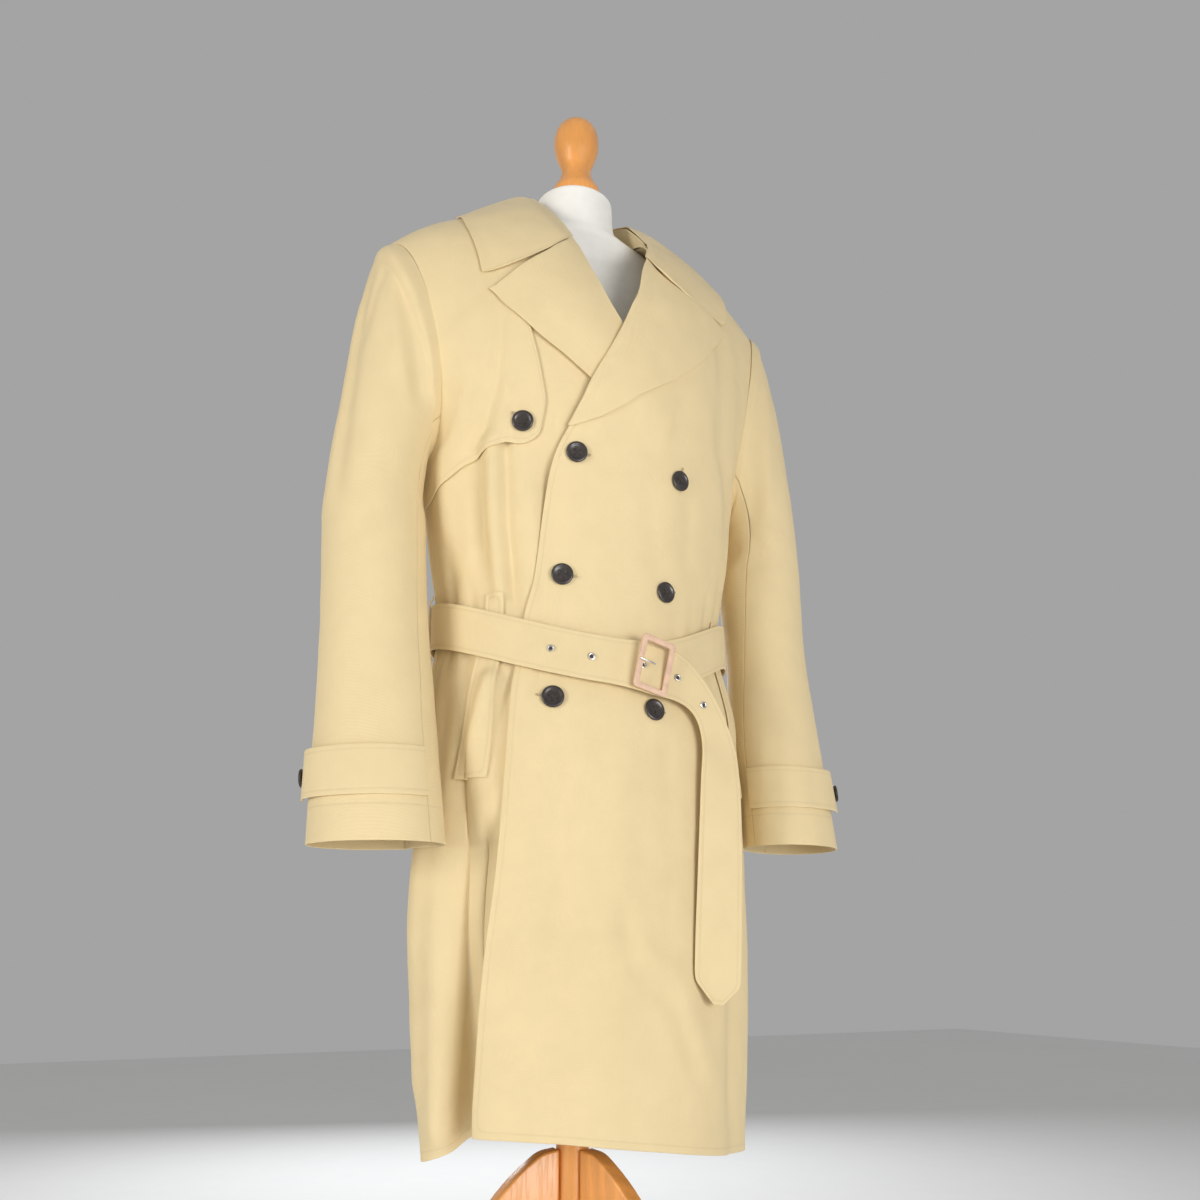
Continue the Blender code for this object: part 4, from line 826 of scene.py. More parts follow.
def thicken(builder, faces, way):
    """Extrude faces along a vector."""
    grown = bmesh.ops.extrude_face_region(builder, geom=list(faces))
    moved = [g for g in grown["geom"] if isinstance(g, bmesh.types.BMVert)]
    bmesh.ops.translate(builder, verts=moved, vec=way)


def soften(builder, angle, offset, segments):
    """Bevel the edges that turn by more than an angle in degrees."""
    rims = [e for e in builder.edges if e.calc_face_angle(0.0) > radians(angle)]
    bmesh.ops.bevel(builder, geom=rims, offset=offset, segments=segments, profile=0.5,
                    affect='EDGES', material=-1)


def facing(point, normal, spin=0.0):
    """Matrix that stands +Z on a surface."""
    upright = normal.to_track_quat('Z', 'Y').to_matrix().to_4x4()
    return Matrix.Translation(point) @ upright @ Matrix.Rotation(spin, 4, 'Z')


# ---- finishes
FLOAT = "NodeSocketFloat"
VECTOR = "NodeSocketVector"


def input_of(node, name, value):
    """Set or link a node's input."""
    if isinstance(value, bpy.types.NodeSocket):
        node.id_data.links.new(value, node.inputs[name])
    else:
        node.inputs[name].default_value = value


def put(tree, kind, inputs=None, **looks):
    """Add a node, set its properties and its inputs."""
    node = tree.nodes.new(kind)
    for name, value in looks.items():
        setattr(node, name, value)
    for name, value in (inputs or {}).items():
        input_of(node, name, value)
    return node


def maths(tree, operation, *values):
    """Maths node on up to three values."""
    return put(tree, "ShaderNodeMath", dict(enumerate(values)), operation=operation).outputs[0]


def step_between(tree, value, low, high, to_low=0.0, to_high=1.0):
    """Soft step of a value between two limits."""
    inputs = {"Value": value, "From Min": low, "From Max": high, "To Min": to_low, "To Max": to_high}
    node = put(tree, "ShaderNodeMapRange", inputs, interpolation_type='SMOOTHSTEP', clamp=True)
    return node.outputs["Result"]


def specks(tree, place, scale, detail, **more):
    """Noise at a place."""
    inputs = {"Vector": place, "Scale": scale, "Detail": detail, **more}
    return put(tree, "ShaderNodeTexNoise", inputs).outputs["Fac"]


def waves(tree, place, scale, distortion, axis, shape="bands", more=None):
    """Bands across an axis, or rings round it."""
    inputs = {"Vector": place, "Scale": scale, "Distortion": distortion, **(more or {})}
    looks = {"wave_type": shape.upper(), shape + "_direction": axis}
    return put(tree, "ShaderNodeTexWave", inputs, **looks).outputs["Fac"]


def drawn_out(tree, place, scale):
    """Place scaled along each axis."""
    return put(tree, "ShaderNodeMapping", {"Vector": place, "Scale": scale}).outputs[0]


def group(name, inputs, outputs, build):
    """Node group with named inputs and number outputs, built once."""
    found = bpy.data.node_groups.get(name)
    if found:
        return found
    tree = bpy.data.node_groups.new(name, 'ShaderNodeTree')
    for label, kind in inputs.items():
        tree.interface.new_socket(label, in_out='INPUT', socket_type=kind)
    for label in outputs:
        tree.interface.new_socket(label, in_out='OUTPUT', socket_type=FLOAT)
    start = tree.nodes.new("NodeGroupInput")
    end = tree.nodes.new("NodeGroupOutput")
    for label, socket in build(tree, start.outputs).items():
        tree.links.new(socket, end.inputs[label])
    return tree


def twill_weave():
    """Fine diagonal ribs of a twill, from lengths on the cloth."""
    def build(tree, given):
        slant = {"Vector": given["Lengths"], "Rotation": (0.0, 0.0, TWILL_SLANT)}
        place = put(tree, "ShaderNodeMapping", slant).outputs[0]
        ribs = waves(tree, place, given["Ribs"], 1.2, 'X', more={"Detail": 2.0, "Detail Scale": 3.0})
        return {"Height": ribs}
    return group("twill_weave", {"Lengths": VECTOR, "Ribs": FLOAT}, ("Height",), build)


def mottling():
    """Broad and fine uneven tone of dyed cloth, paint or wood."""
    def build(tree, given):
        broad = specks(tree, given["Place"], given["Broad"], 3.0)
        fine = specks(tree, given["Place"], given["Fine"], 4.0)
        mixed = maths(tree, 'MULTIPLY_ADD', fine, 0.4, maths(tree, 'MULTIPLY', broad, 0.6))
        return {"Mask": step_between(tree, mixed, 0.32, 0.68)}
    return group("mottling", {"Place": VECTOR, "Broad": FLOAT, "Fine": FLOAT}, ("Mask",), build)


def stitch_row():
    """Row of stitches beside an edge: the thread, the dimple it pulls and the thick turned edge."""
    def build(tree, given):
        away = maths(tree, 'ABSOLUTE', given["Seam"])
        line = step_between(tree, away, 0.0002, 0.0006, 1.0, 0.0)
        # the groove is the dimple's height here; the cloth also darkens its colour along it as painted shade
        groove = step_between(tree, away, 0.0003, 0.0016, 1.0, 0.0)
        beat = maths(tree, 'FRACT', maths(tree, 'DIVIDE', given["Run"], given["Pitch"]))
        off_beat = maths(tree, 'ABSOLUTE', maths(tree, 'SUBTRACT', beat, 0.5))
        thread = maths(tree, 'MULTIPLY', line, step_between(tree, off_beat, 0.34, 0.44, 1.0, 0.0))
        turned_edge = step_between(tree, given["Seam"], -0.0015, 0.001, 1.0, 0.0)
        sunk = maths(tree, 'SUBTRACT', maths(tree, 'MULTIPLY', turned_edge, 0.7), groove)
        height = maths(tree, 'MULTIPLY_ADD', thread, 0.6, sunk)
        return {"Thread": thread, "Groove": groove, "Height": height}
    inputs = {"Seam": FLOAT, "Run": FLOAT, "Pitch": FLOAT}
    return group("stitch_row", inputs, ("Thread", "Groove", "Height"), build)


def grain_lines():
    """Long grain of wood along one axis, with fine pores."""
    def build(tree, given):
        place = drawn_out(tree, given["Place"], (1.0, 1.0, 0.09))
        rings = waves(tree, place, given["Rings"], 5.0, 'X', "rings", {"Detail": 3.0, "Detail Scale": 1.2})
        pores = specks(tree, place, 420.0, 3.0)
        return {"Grain": rings, "Pores": step_between(tree, pores, 0.45, 0.62)}
    return group("grain_lines", {"Place": VECTOR, "Rings": FLOAT}, ("Grain", "Pores"), build)


def placed_group(tree, made, inputs):
    """Place a node group with its inputs."""
    return put(tree, "ShaderNodeGroup", inputs, node_tree=made).outputs


def mottled(tree, place, broad, fine):
    """Uneven tone at a place, on a broad and a fine scale."""
    return placed_group(tree, mottling(), {"Place": place, "Broad": broad, "Fine": fine})["Mask"]


def shade(colour, factor):
    """Colour made darker or lighter."""
    return tuple(min(1.0, c * factor) for c in tuple(colour)[:3]) + (1.0,)


def blend_colour(tree, mask, first, second):
    """Mix of two colours by a mask."""
    return put(tree, "ShaderNodeMix", {0: mask, 6: first, 7: second}, data_type='RGBA').outputs[2]


def veiled(tree, mask, share, colour, over):
    """Colour with a share of another one over it where a mask is bright."""
    return blend_colour(tree, maths(tree, 'MULTIPLY', mask, share), colour, over)


def wire(tree, shader, colour, mask=None, rough_from=0.0, rough_to=1.0):
    """Link a shader's colour and, where a mask is given, its roughness between two values."""
    input_of(shader, "Base Color", colour)
    if mask is not None:
        input_of(shader, "Roughness", step_between(tree, mask, 0.0, 1.0, rough_from, rough_to))


def bumped(tree, shader, *layers):
    """Chain bump layers of height, distance and strength into the shader's normal."""
    normal = None
    for height, distance, strength in layers:
        node = put(tree, "ShaderNodeBump", {"Height": height, "Distance": distance, "Strength": strength})
        if normal is not None:
            input_of(node, "Normal", normal)
        normal = node.outputs["Normal"]
    input_of(shader, "Normal", normal)


def finish(name, build, **fixed):
    """Material of a name: on its first use its shader's values are set and its tree is built."""
    found = bpy.data.materials.get(name)
    if found:
        return found
    made = bpy.data.materials.new(name)
    made.use_nodes = True
    tree = made.node_tree
    shader = tree.nodes["Principled BSDF"]
    for label, value in fixed.items():
        shader.inputs[label.replace("_", " ")].default_value = value
    build(tree, shader, put(tree, "ShaderNodeTexCoord").outputs["Object"])
    return made


def gabardine():
    """Tightly woven cotton twill with its stitched edges, and painted shade along the dimples beside its
    stitches.
    """
    def build(tree, shader, place):
        sizes = settings()
        tint = sizes.cloth_colour
        lengths = put(tree, "ShaderNodeUVMap", uv_map="lengths").outputs["UV"]
        seam = put(tree, "ShaderNodeAttribute", attribute_name="seam").outputs["Fac"]
        run = put(tree, "ShaderNodeAttribute", attribute_name="run").outputs["Fac"]
        tone = mottled(tree, place, 5.0, 34.0)
        warp = specks(tree, drawn_out(tree, lengths, (900.0, 60.0, 1.0)), 1.0, 2.0)
        weft = specks(tree, drawn_out(tree, lengths, (60.0, 900.0, 1.0)), 1.0, 2.0)
        ribs = placed_group(tree, twill_weave(), {"Lengths": lengths, "Ribs": sizes.twill_ribs})["Height"]
        stitches = placed_group(tree, stitch_row(), {"Seam": seam, "Run": run, "Pitch": sizes.stitch_length})
        colour = blend_colour(tree, tone, shade(tint, 0.955), shade(tint, 1.03))
        for mask, share, darker in (
            (maths(tree, 'ADD', warp, weft), 0.16, 0.8),
            (ribs, 0.1, 0.78),
            # painted shade: the colour darkened along each stitch's dimple
            (stitches["Groove"], 0.13, 0.55),
            (stitches["Thread"], 0.35, 0.9),
        ):
            colour = veiled(tree, mask, share, colour, shade(tint, darker))
        wire(tree, shader, colour, tone, 0.78, 0.68)
        wrinkle = specks(tree, place, 42.0, 5.0, Roughness=0.62)
        bumped(tree, shader, (wrinkle, 0.0016, 0.3), (stitches["Height"], 0.0002, 0.6), (ribs, 0.0002, 0.3))
    return finish("gabardine_cloth", build, Roughness=0.72, Sheen_Weight=0.12, Sheen_Roughness=0.45)


def beech():
    """Varnished beech, its grain along the height."""
    def build(tree, shader, place):
        tint = settings().wood_colour
        wood = placed_group(tree, grain_lines(), {"Place": place, "Rings": 26.0})
        colour = blend_colour(tree, wood["Grain"], shade(tint, 1.08), shade(tint, 0.88))
        colour = veiled(tree, wood["Pores"], 0.2, colour, shade(tint, 0.7))
        colour = veiled(tree, mottled(tree, place, 9.0, 60.0), 0.25, colour, shade(tint, 1.22))
        wire(tree, shader, colour, wood["Pores"], 0.32, 0.46)
        bumped(tree, shader, (wood["Pores"], 0.0003, 0.25))
    return finish("beech_wood", build, Roughness=0.36, Coat_Weight=0.35, Coat_Roughness=0.22)


def form_jersey():
    """Fine white jersey drawn over the form."""
    def build(tree, shader, place):
        tint = settings().form_colour
        tone = mottled(tree, place, 12.0, 90.0)
        knit = waves(tree, place, 260.0, 1.5, 'Z', more={"Detail": 2.0})
        colour = blend_colour(tree, tone, shade(tint, 0.95), shade(tint, 1.02))
        wire(tree, shader, veiled(tree, knit, 0.1, colour, shade(tint, 0.8)), tone, 0.86, 0.76)
        bumped(tree, shader, (tone, 0.0008, 0.15), (knit, 0.0002, 0.3))
    return finish("form_jersey", build, Roughness=0.8, Sheen_Weight=0.25, Sheen_Roughness=0.5)


def dark_horn():
    """Dark brown horn with paler clouds, dull at its rim."""
    def build(tree, shader, place):
        tint = settings().button_colour
        clouds = mottled(tree, place, 110.0, 420.0)
        colour = blend_colour(tree, clouds, shade(tint, 0.7), shade(tint, 1.9))
        wire(tree, shader, colour, clouds, 0.42, 0.26)
        bumped(tree, shader, (clouds, 0.0003, 0.25))
    return finish("dark_horn", build, Roughness=0.34, Coat_Weight=0.25, Coat_Roughness=0.18)


def sewing_thread():
    """Twisted dark thread; the same finish paints the shade inside the eyelets' holes."""
    def build(tree, shader, place):
        tint = settings().thread_and_hole_shade_colour
        twist = waves(tree, place, 420.0, 0.6, 'DIAGONAL')
        wire(tree, shader, blend_colour(tree, twist, shade(tint, 0.55), shade(tint, 1.25)))
        bumped(tree, shader, (twist, 0.0002, 0.5))
    return finish("sewing_thread", build, Roughness=0.75, Sheen_Weight=0.2)


def nickel():
    """Brushed nickel of the small fittings."""
    def build(tree, shader, place):
        wear = mottled(tree, place, 160.0, 900.0)
        colour = blend_colour(tree, wear, (0.62, 0.6, 0.57, 1.0), (0.8, 0.79, 0.77, 1.0))
        wire(tree, shader, colour, wear, 0.2, 0.36)
        bumped(tree, shader, (wear, 0.0001, 0.2))
    return finish("brushed_nickel", build, Roughness=0.26, Metallic=1.0)


def buckle_leather():
    """Smooth leather wrapped round the buckle's frame."""
    def build(tree, shader, place):
        tint = settings().buckle_colour
        tone = mottled(tree, place, 90.0, 500.0)
        pores = put(tree, "ShaderNodeTexVoronoi", {"Vector": place, "Scale": 1500.0}).outputs["Distance"]
        wire(tree, shader, blend_colour(tree, tone, shade(tint, 0.86), shade(tint, 1.08)), tone, 0.54, 0.4)
        bumped(tree, shader, (pores, 0.0001, 0.3))
    return finish("buckle_leather", build, Roughness=0.45, Coat_Weight=0.15, Coat_Roughness=0.3)


def buttonhole_silk():
    """Close silk stitches round a buttonhole."""
    def build(tree, shader, place):
        tint = settings().cloth_colour
        ribs = waves(tree, place, 600.0, 0.5, 'X')
        wire(tree, shader, blend_colour(tree, ribs, shade(tint, 0.42), shade(tint, 0.78)))
        bumped(tree, shader, (ribs, 0.0002, 0.5))
    return finish("buttonhole_silk", build, Roughness=0.6, Sheen_Weight=0.2)


def floor_finish():
    """Plain pale matt floor."""
    def build(tree, shader, place):
        tint = bpy.context.scene.studio.floor_colour
        tone = mottled(tree, place, 0.8, 12.0)
        wire(tree, shader, blend_colour(tree, tone, shade(tint, 0.985), shade(tint, 1.01)))
    return finish("pale_floor", build, Roughness=0.85)


# ---- cloth pieces
# Cut of each cloth piece: width and length in metres, share of that rectangle, how it is held
CUTS = {
    "right_front": (0.36, 1.12, 0.72, "hung"),
    "left_front": (0.44, 1.12, 0.68, "hung"),
    "back": (0.6, 1.09, 0.77, "hung"),
    "gun_flap": (0.2, 0.33, 0.63, "draped"),
    "right_lapel": (0.15, 0.27, 0.5, "folded"),
    "left_lapel": (0.15, 0.3, 0.51, "folded"),
    "collar": (0.7, 0.13, 0.73, "folded"),
    "collar_stand": (0.46, 0.035, 0.64, "folded"),
    "right_top_sleeve": (0.27, 0.69, 0.76, "hung"),
    "right_under_sleeve": (0.13, 0.47, 0.67, "hung"),
    "left_top_sleeve": (0.27, 0.68, 0.74, "hung"),
    "left_under_sleeve": (0.13, 0.46, 0.68, "hung"),
    "right_cuff_strap": (0.18, 0.048, 0.92, "stretched"),
    "left_cuff_strap": (0.175, 0.048, 0.92, "stretched"),
    "right_pocket_welt": (0.034, 0.192, 0.85, "stretched"),
    "left_pocket_welt": (0.034, 0.192, 0.85, "stretched"),
    "belt": (1.335, 0.05, 0.955, "stretched"),
    "right_belt_loop": (0.01, 0.075, 0.6, "stretched"),
    "left_belt_loop": (0.01, 0.075, 0.6, "stretched"),
}


def dressed(node):
    """Finished piece that stands for a node."""
    return bpy.data.objects[node + "_dressed"]


def wear(piece, node, rests_on):
    """Hide the part that a cloth piece stands for; rests_on, what carries it, is not used."""
    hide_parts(node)
    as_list(rests_on)
    return piece


def cloth(node, place, columns, rows, rests_on, **how):
    """Lay a cloth piece in place of its node."""
    return wear(lay(node + "_dressed", place, columns, rows, CUTS[node], **how), node, rests_on)


def right_front():
    """Front that laps under, from the right side seam to beneath the left front."""
    def place(a, b):
        v = lerp(hem_v(lerp(-1.0, 0.26, a)), TOP_V, b)
        w = lerp(-SIDE_W, edge_at(RIGHT_EDGE, v), a)
        return front_at(w, v)
    return cloth("right_front", place, 84, 84, ["dress_form"], lift=body_lift("right_front"),
                 seams="low right", inset=0.008)


def left_front():
    """Front that laps over, out to the wearer's right below the lapels."""
    def place(a, b):
        v = lerp(hem_v(lerp(-0.67, 1.0, a)), TOP_V, b)
        w = lerp(edge_at(LEFT_EDGE, v), SIDE_W, a)
        return moved_out(front_at, w, v, left_rise(w, v))
    made = cloth("left_front", place, 72, 90, ["right_front_dressed"], lift=body_lift("left_front"),
                 seams="left low", inset=0.0055)
    return settle(made, [dressed("right_front"), dressed("right_lapel")])


BACK_LOWER = 9.0 / 15.0  # share of the back's rows below the armpits


def back():
    """Back in one piece, from side seam to side seam and up to the neckline."""
    def place(a, b):
        across = lerp(-1.0, 1.0, a)
        side = -1.0 if across < 0.0 else 1.0
        low = (table(HEM, 180.0, 1) - PIT_Z) / UPPER
        side_low = (table(HEM, 90.0 * side, 1) - PIT_Z) / UPPER
        low = lerp(low, side_low, abs(across) ** 4)
        if b <= BACK_LOWER:
            return back_at(across * SIDE_W, lerp(low, 0.0, b / BACK_LOWER))
        if abs(across) < NECK_COLUMNS:
            w_top = side * 0.001
            v_top = lerp(BACK_NECK_V, TOP_V, abs(across) / NECK_COLUMNS)
        else:
            w_top = side * lerp(0.001, SIDE_W, (abs(across) - NECK_COLUMNS) / (1.0 - NECK_COLUMNS))
            v_top = TOP_V
        rise = (b - BACK_LOWER) / (1.0 - BACK_LOWER)
        return back_at(lerp(across * SIDE_W, w_top, rise), lerp(0.0, v_top, rise))
    return cloth("back", place, 96, 90, ["dress_form"], flip=True, lift=body_lift("back"),
                 seams="low", inset=0.008)


FLAP_V = (
    # place w, patch height of the lower edge
    (-1, -0.165), (-0.944, -0.158), (-0.764, -0.1), (-0.651, -0.04), (-0.535, -0.004),
    (-0.479, 0.014), (-0.445, 0.006), (-0.4, 0), (-0.35, 0),
)
FLAP_EDGE = (
    # patch height, place w of the free front edge
    (0, -0.357), (0.108, -0.362), (0.184, -0.392), (0.258, -0.424), (0.342, -0.462),
    (0.414, -0.494), (1, -0.3),
)
FLAP_OFF = 0.0026
FLAP_CORNER = 0.09  # width of the flap's rounded corner, in w
FLAP_ROUND = 0.055  # and its height, in v


def gun_flap():
    """Loose flap on the right chest, sewn in at the shoulder and armhole."""
    def place(a, b):
        free = straight(FLAP_EDGE, b, 1)
        w = lerp(-0.994, free, a)
        inside = min(1.0, max(0.0, (w - free) / FLAP_CORNER + 1.0))
        low = table(FLAP_V, w, 1) + FLAP_ROUND * (1.0 - sqrt(1.0 - inside ** 2))
        return moved_out(front_at, w, lerp(low, 0.99, b), FLAP_OFF)
    made = cloth("gun_flap", place, 40, 48, ["right_front_dressed"], lift=body_lift("gun_flap"),
                 seams="low right", inset=0.0055)
    return settle(made, [dressed("right_front")])


# Lapels: share up the roll line, edge place w, edge patch height v
RIGHT_LAPEL = (
    (0, 0.14, 0.105), (0.3, -0.075, 0.155), (0.45, -0.191, 0.205), (0.585, -0.301, 0.279),
    (0.72, -0.42, 0.352), (0.86, -0.541, 0.443), (0.97, -0.645, 0.522), (1, -0.669, 0.542),
)
LEFT_LAPEL = (
    (0, -0.245, 0.062), (0.18, -0.135, 0.093), (0.31, -0.055, 0.127), (0.44, 0.034, 0.169),
    (0.61, 0.173, 0.247), (0.74, 0.296, 0.325), (0.86, 0.438, 0.427), (1, 0.638, 0.59),
)
# Upper edge of each lapel, which the collar's end follows as far as the notch:
# share across, place w, patch height v
GORGE = {
    -1: (
        (0, 0.15, 0.7), (0.22, 0.21, 0.664), (0.45, 0.325, 0.623), (0.62, 0.441, 0.592),
        (0.82, 0.561, 0.555), (1, 0.669, 0.542),
    ),
    1: (
        (0, 0.088, 0.65), (0.15, 0.145, 0.607), (0.28, 0.21, 0.58), (0.45, 0.3, 0.57),
        (0.62, 0.399, 0.568), (0.82, 0.534, 0.578), (1, 0.638, 0.59),
    ),
}


LAPEL_BOW = 0.0075  # a lapel bows out by this between its roll line and its edge
LAPEL_WIDE = 0.35  # where it is at least this wide, in w


def lapel(side, node, rows, v_low, base_in, base_out, beneath):
    """Facing turned back over the chest, from the roll line to its free edge."""
    roll = RIGHT_EDGE if side < 0 else LEFT_EDGE

    def place(a, b):
        v_roll = lerp(v_low, GORGE[side][0][2], b)
        w_roll = edge_at(roll, v_roll)
        w_out = straight(rows, b, 1)
        v_out = straight(rows, b, 2)
        w = lerp(w_roll, w_out, a)
        v = lerp(v_roll, v_out, a)
        top = smooth((b - 0.6) / 0.4) ** 2
        w = lerp(w, side * straight(GORGE[side], a, 1), top)
        v = lerp(v, straight(GORGE[side], a, 2), top)
        width = abs(w_out - w_roll)
        bow = LAPEL_BOW * smooth(width / LAPEL_WIDE) * sin(pi * a) * (1.0 - 0.4 * a)
        return moved_out(front_at, w, v, lerp(base_in, base_out, smooth(a * 1.4)) + bow)
    made = cloth(node, place, 30, 44, [beneath[0] + "_dressed"], flip=side < 0, lift=body_lift(node))
    return settle(made, [dressed(name) for name in beneath])


# Collar, from the lapel's end round to the centre back:
# share, neck w, neck v, edge w, edge v, roll x, roll y, roll z (fronts first, then the back)
COLLAR_FRONT = (
    (0, 0.13, 0.74, 0.688, 0.61, 0.053, -0.092, 1.352),
    (0.5, 0.06, 0.87, 0.645, 0.79, 0.06, -0.06, 1.396),
    (1, 0.001, 1, 0.5, 1, 0.065, -0.008, 1.45),
)
COLLAR_BACK = (
    (0, 0.001, 1, 0.5, 1, 0.065, -0.008, 1.45),
    (0.33, 0.001, 0.86, 0.34, 0.84, 0.062, 0.033, 1.47),
    (0.67, 0.001, 0.72, 0.18, 0.59, 0.04, 0.06, 1.48),
    (1, 0.001, 0.6, 0.001, 0.545, 0, 0.069, 1.484),
)
# End of the collar: it follows the lapel's upper edge to the notch, then leaves it
COLLAR_END = {
    -1: (
        (0, 0.15, 0.706), (0.22, 0.21, 0.671), (0.45, 0.325, 0.632), (0.62, 0.436, 0.608),
        (0.82, 0.551, 0.594), (1, 0.684, 0.6),
    ),
    1: (
        (0, 0.092, 0.65), (0.15, 0.145, 0.605), (0.28, 0.21, 0.578), (0.45, 0.3, 0.569),
        (0.62, 0.399, 0.575), (0.82, 0.534, 0.593), (1, 0.61, 0.618),
    ),
}
COLLAR_OFF = 0.0058
COLLAR_LIFT = {-1: 0.0, 1: 0.0042}  # its left end starts a little higher, over the left front
STAND_END = 0.93  # the stand stops short of the collar's ends
STAND_FOOT = 0.0035  # rise of the stand's lower edge over the neckline
STAND_IN = 0.001  # and its place inside it
STAND_TOP = 0.0012  # drop of its upper edge under the collar's roll
STAND_OUT = 0.0004  # and its place outside it


def collar_lines(c):
    """Neckline point, surface path and roll point at -1 (right end) to 1 (left end)."""
    side = -1 if c < 0.0 else 1
    reach = 2.0 * (1.0 - abs(c))
    rows, surface = (COLLAR_FRONT, front_at) if reach < 1.0 else (COLLAR_BACK, back_at)
    k = reach if reach < 1.0 else min(reach - 1.0, 1.0)
    w_neck, v_neck, w_edge, v_edge = (table(rows, k, n) for n in (1, 2, 3, 4))
    roll = Vector((side * table(rows, k, 5), table(rows, k, 6), table(rows, k, 7)))
    if surface is front_at:
        end_w, end_v = COLLAR_END[side][0][1:]
        last = moved_out(front_at, side * end_w, end_v, COLLAR_OFF + COLLAR_LIFT[side])
        near = smooth((abs(c) - STAND_END) / (1.0 - STAND_END))
        w_neck = lerp(w_neck, end_w, near)
        v_neck = lerp(v_neck, end_v, near)
        roll = lerp(roll, last, near)
    return side, surface, w_neck, v_neck, w_edge, v_edge, roll


def collar_leaf(c, s):
    """Fall of the collar from its roll (s = 0) to its free edge (s = 1)."""
    side, surface, w_neck, v_neck, w_edge, v_edge, roll = collar_lines(c)
    neck = surface(side * w_neck, v_neck)
    end = smooth((abs(c) - 0.8) / 0.2)
    w = side * lerp(lerp(w_neck, w_edge, s), straight(COLLAR_END[side], s, 1), end)
    v = lerp(lerp(v_neck, v_edge, s), straight(COLLAR_END[side], s, 2), end)
    p = moved_out(surface, w, min(v, 0.999), COLLAR_OFF * smooth(s * 4.0))
    return p + (roll - neck) * cos(0.5 * pi * s) ** 1.3


def collar():
    """Leaf of the collar, in one piece round the neck."""
    beneath = ["right_front", "left_front", "back", "gun_flap", "right_lapel", "left_lapel", "collar_stand"]
    made = cloth("collar", lambda a, b: collar_leaf(lerp(-1.0, 1.0, a), b), 120, 22,
                 ["collar_stand_dressed"], lift=body_lift("collar"))
    return settle(made, [dressed(name) for name in beneath])


def collar_stand():
    """Band that carries the collar, from the neckline up to the roll."""
    def place(a, b):
        side, surface, w_neck, v_neck, _, _, roll = collar_lines(lerp(-STAND_END, STAND_END, a))
        neck = surface(side * w_neck, v_neck)
        inwards = Vector((neck.x, neck.y, 0.0)).normalized() * STAND_IN
        outwards = Vector((roll.x, roll.y, 0.0)).normalized() * STAND_OUT
        foot = neck + Vector((0.0, 0.0, STAND_FOOT)) - inwards
        top = roll - Vector((0.0, 0.0, STAND_TOP)) + outwards
        return lerp(foot, top, b)
    return cloth("collar_stand", place, 72, 8, ["back_dressed"], seams="high", inset=0.003)


# ---- sleeves, cuffs and welts
def seam_angle(side, t, angle):
    """Angle of a sleeve seam at a share down the sleeve."""
    return angle + SLEEVE_TWIST[side] * smooth((t - 0.15) / 0.7)


HEAD_RISE = {-1: 0.003, 1: 0.0018}  # how far the head of each sleeve stands above its seam
HEAD_DIP = 0.25  # share of that rise which is missing in the seam itself


def sleeve(side, hand):
    """Top and under sleeve, which meet at the forearm seam and the back seam."""
    def part_of(start, stop):
        def place(a, b):
            low = seam_angle(side, b, start + SEAM_ANGLE)
            phi = lerp(low, low + stop - start - 2.0 * SEAM_ANGLE, a)
            outward = smooth((0.5 + 0.5 * cos(radians(phi))) * 2.5)
            head = HEAD_RISE[side] * (1.0 - HEAD_DIP * exp(-(b / 0.012) ** 2)) * exp(-(b / 0.13) ** 2)
            return sleeve_out(side, b, phi, head * outward)
        return place
    front = SLEEVE_SEAM_FRONT
    rear = SLEEVE_SEAM_BACK
    top = hand + "_top_sleeve"
    under = hand + "_under_sleeve"
    body = ["%s_front_dressed" % hand]
    cloth(top, part_of(rear, front), 56, 84, body, flip=side < 0, lift=sleeve_lift(top, side),
          seams="high", inset=0.034)
    cloth(under, part_of(front, rear + 360.0), 24, 84, body, flip=side < 0,
          lift=sleeve_lift(under, side), seams="high", inset=0.034)


STRAP_Z = 0.724  # height of a cuff strap's centre line
STRAP_HALF = 0.0235
STRAP_FROM = 130.0  # the strap leaves the forearm seam here
STRAP_TO = -30.0  # and its point ends here, behind the sleeve's outer side
STRAP_BUTTON = -17.0
STRAP_FORWARD = {-1: 0.0, 1: 10.0}  # the left strap's point and button sit a little further forward
STRAP_OFF = 0.0026
STRAP_POINT = 0.9  # share of the strap's length where its point begins
STRAP_NARROW = 0.62  # share of its width that the point takes off
STRAP_OVER = 0.0045  # rise of its free end over the strap's start


def sleeve_t(z):
    """Share along the sleeve at a height below the cap."""
    top = SLEEVE[-1][0]
    return lerp(CAP_SHARE, 1.0, (top - z) / (top - SLEEVE[0][0]))


def cuff_strap(side, hand):
    """Strap round the cuff with a pointed end that buttons on the outer side."""
    def place(a, b):
        along = (a - STRAP_POINT) / 0.1
        half = STRAP_HALF * (1.0 - STRAP_NARROW * max(0.0, along))
        z = STRAP_Z + lerp(-half, half, b)
        phi = lerp(STRAP_FROM, STRAP_TO + STRAP_FORWARD[side], a) + SLEEVE_TWIST[side]
        off = STRAP_OFF + STRAP_OVER * smooth((a - 0.55) / 0.25) + 0.001 * smooth(along)
        return sleeve_out(side, sleeve_t(z), phi, off)
    sleeves = [hand + "_top_sleeve", hand + "_under_sleeve"]
    made = cloth(hand + "_cuff_strap", place, 80, 12, [sleeves[0] + "_dressed"], flip=side < 0,
                 seams="low high right", inset=0.005)
    return settle(made, [dressed(name) for name in sleeves], lambda point: arm_out(side, point))


WELT_TOP = (0.908, -0.612, -0.523)  # height, far w, near w
WELT_FOOT = (0.718, -0.735, -0.569)
WELT_OFF = 0.0026


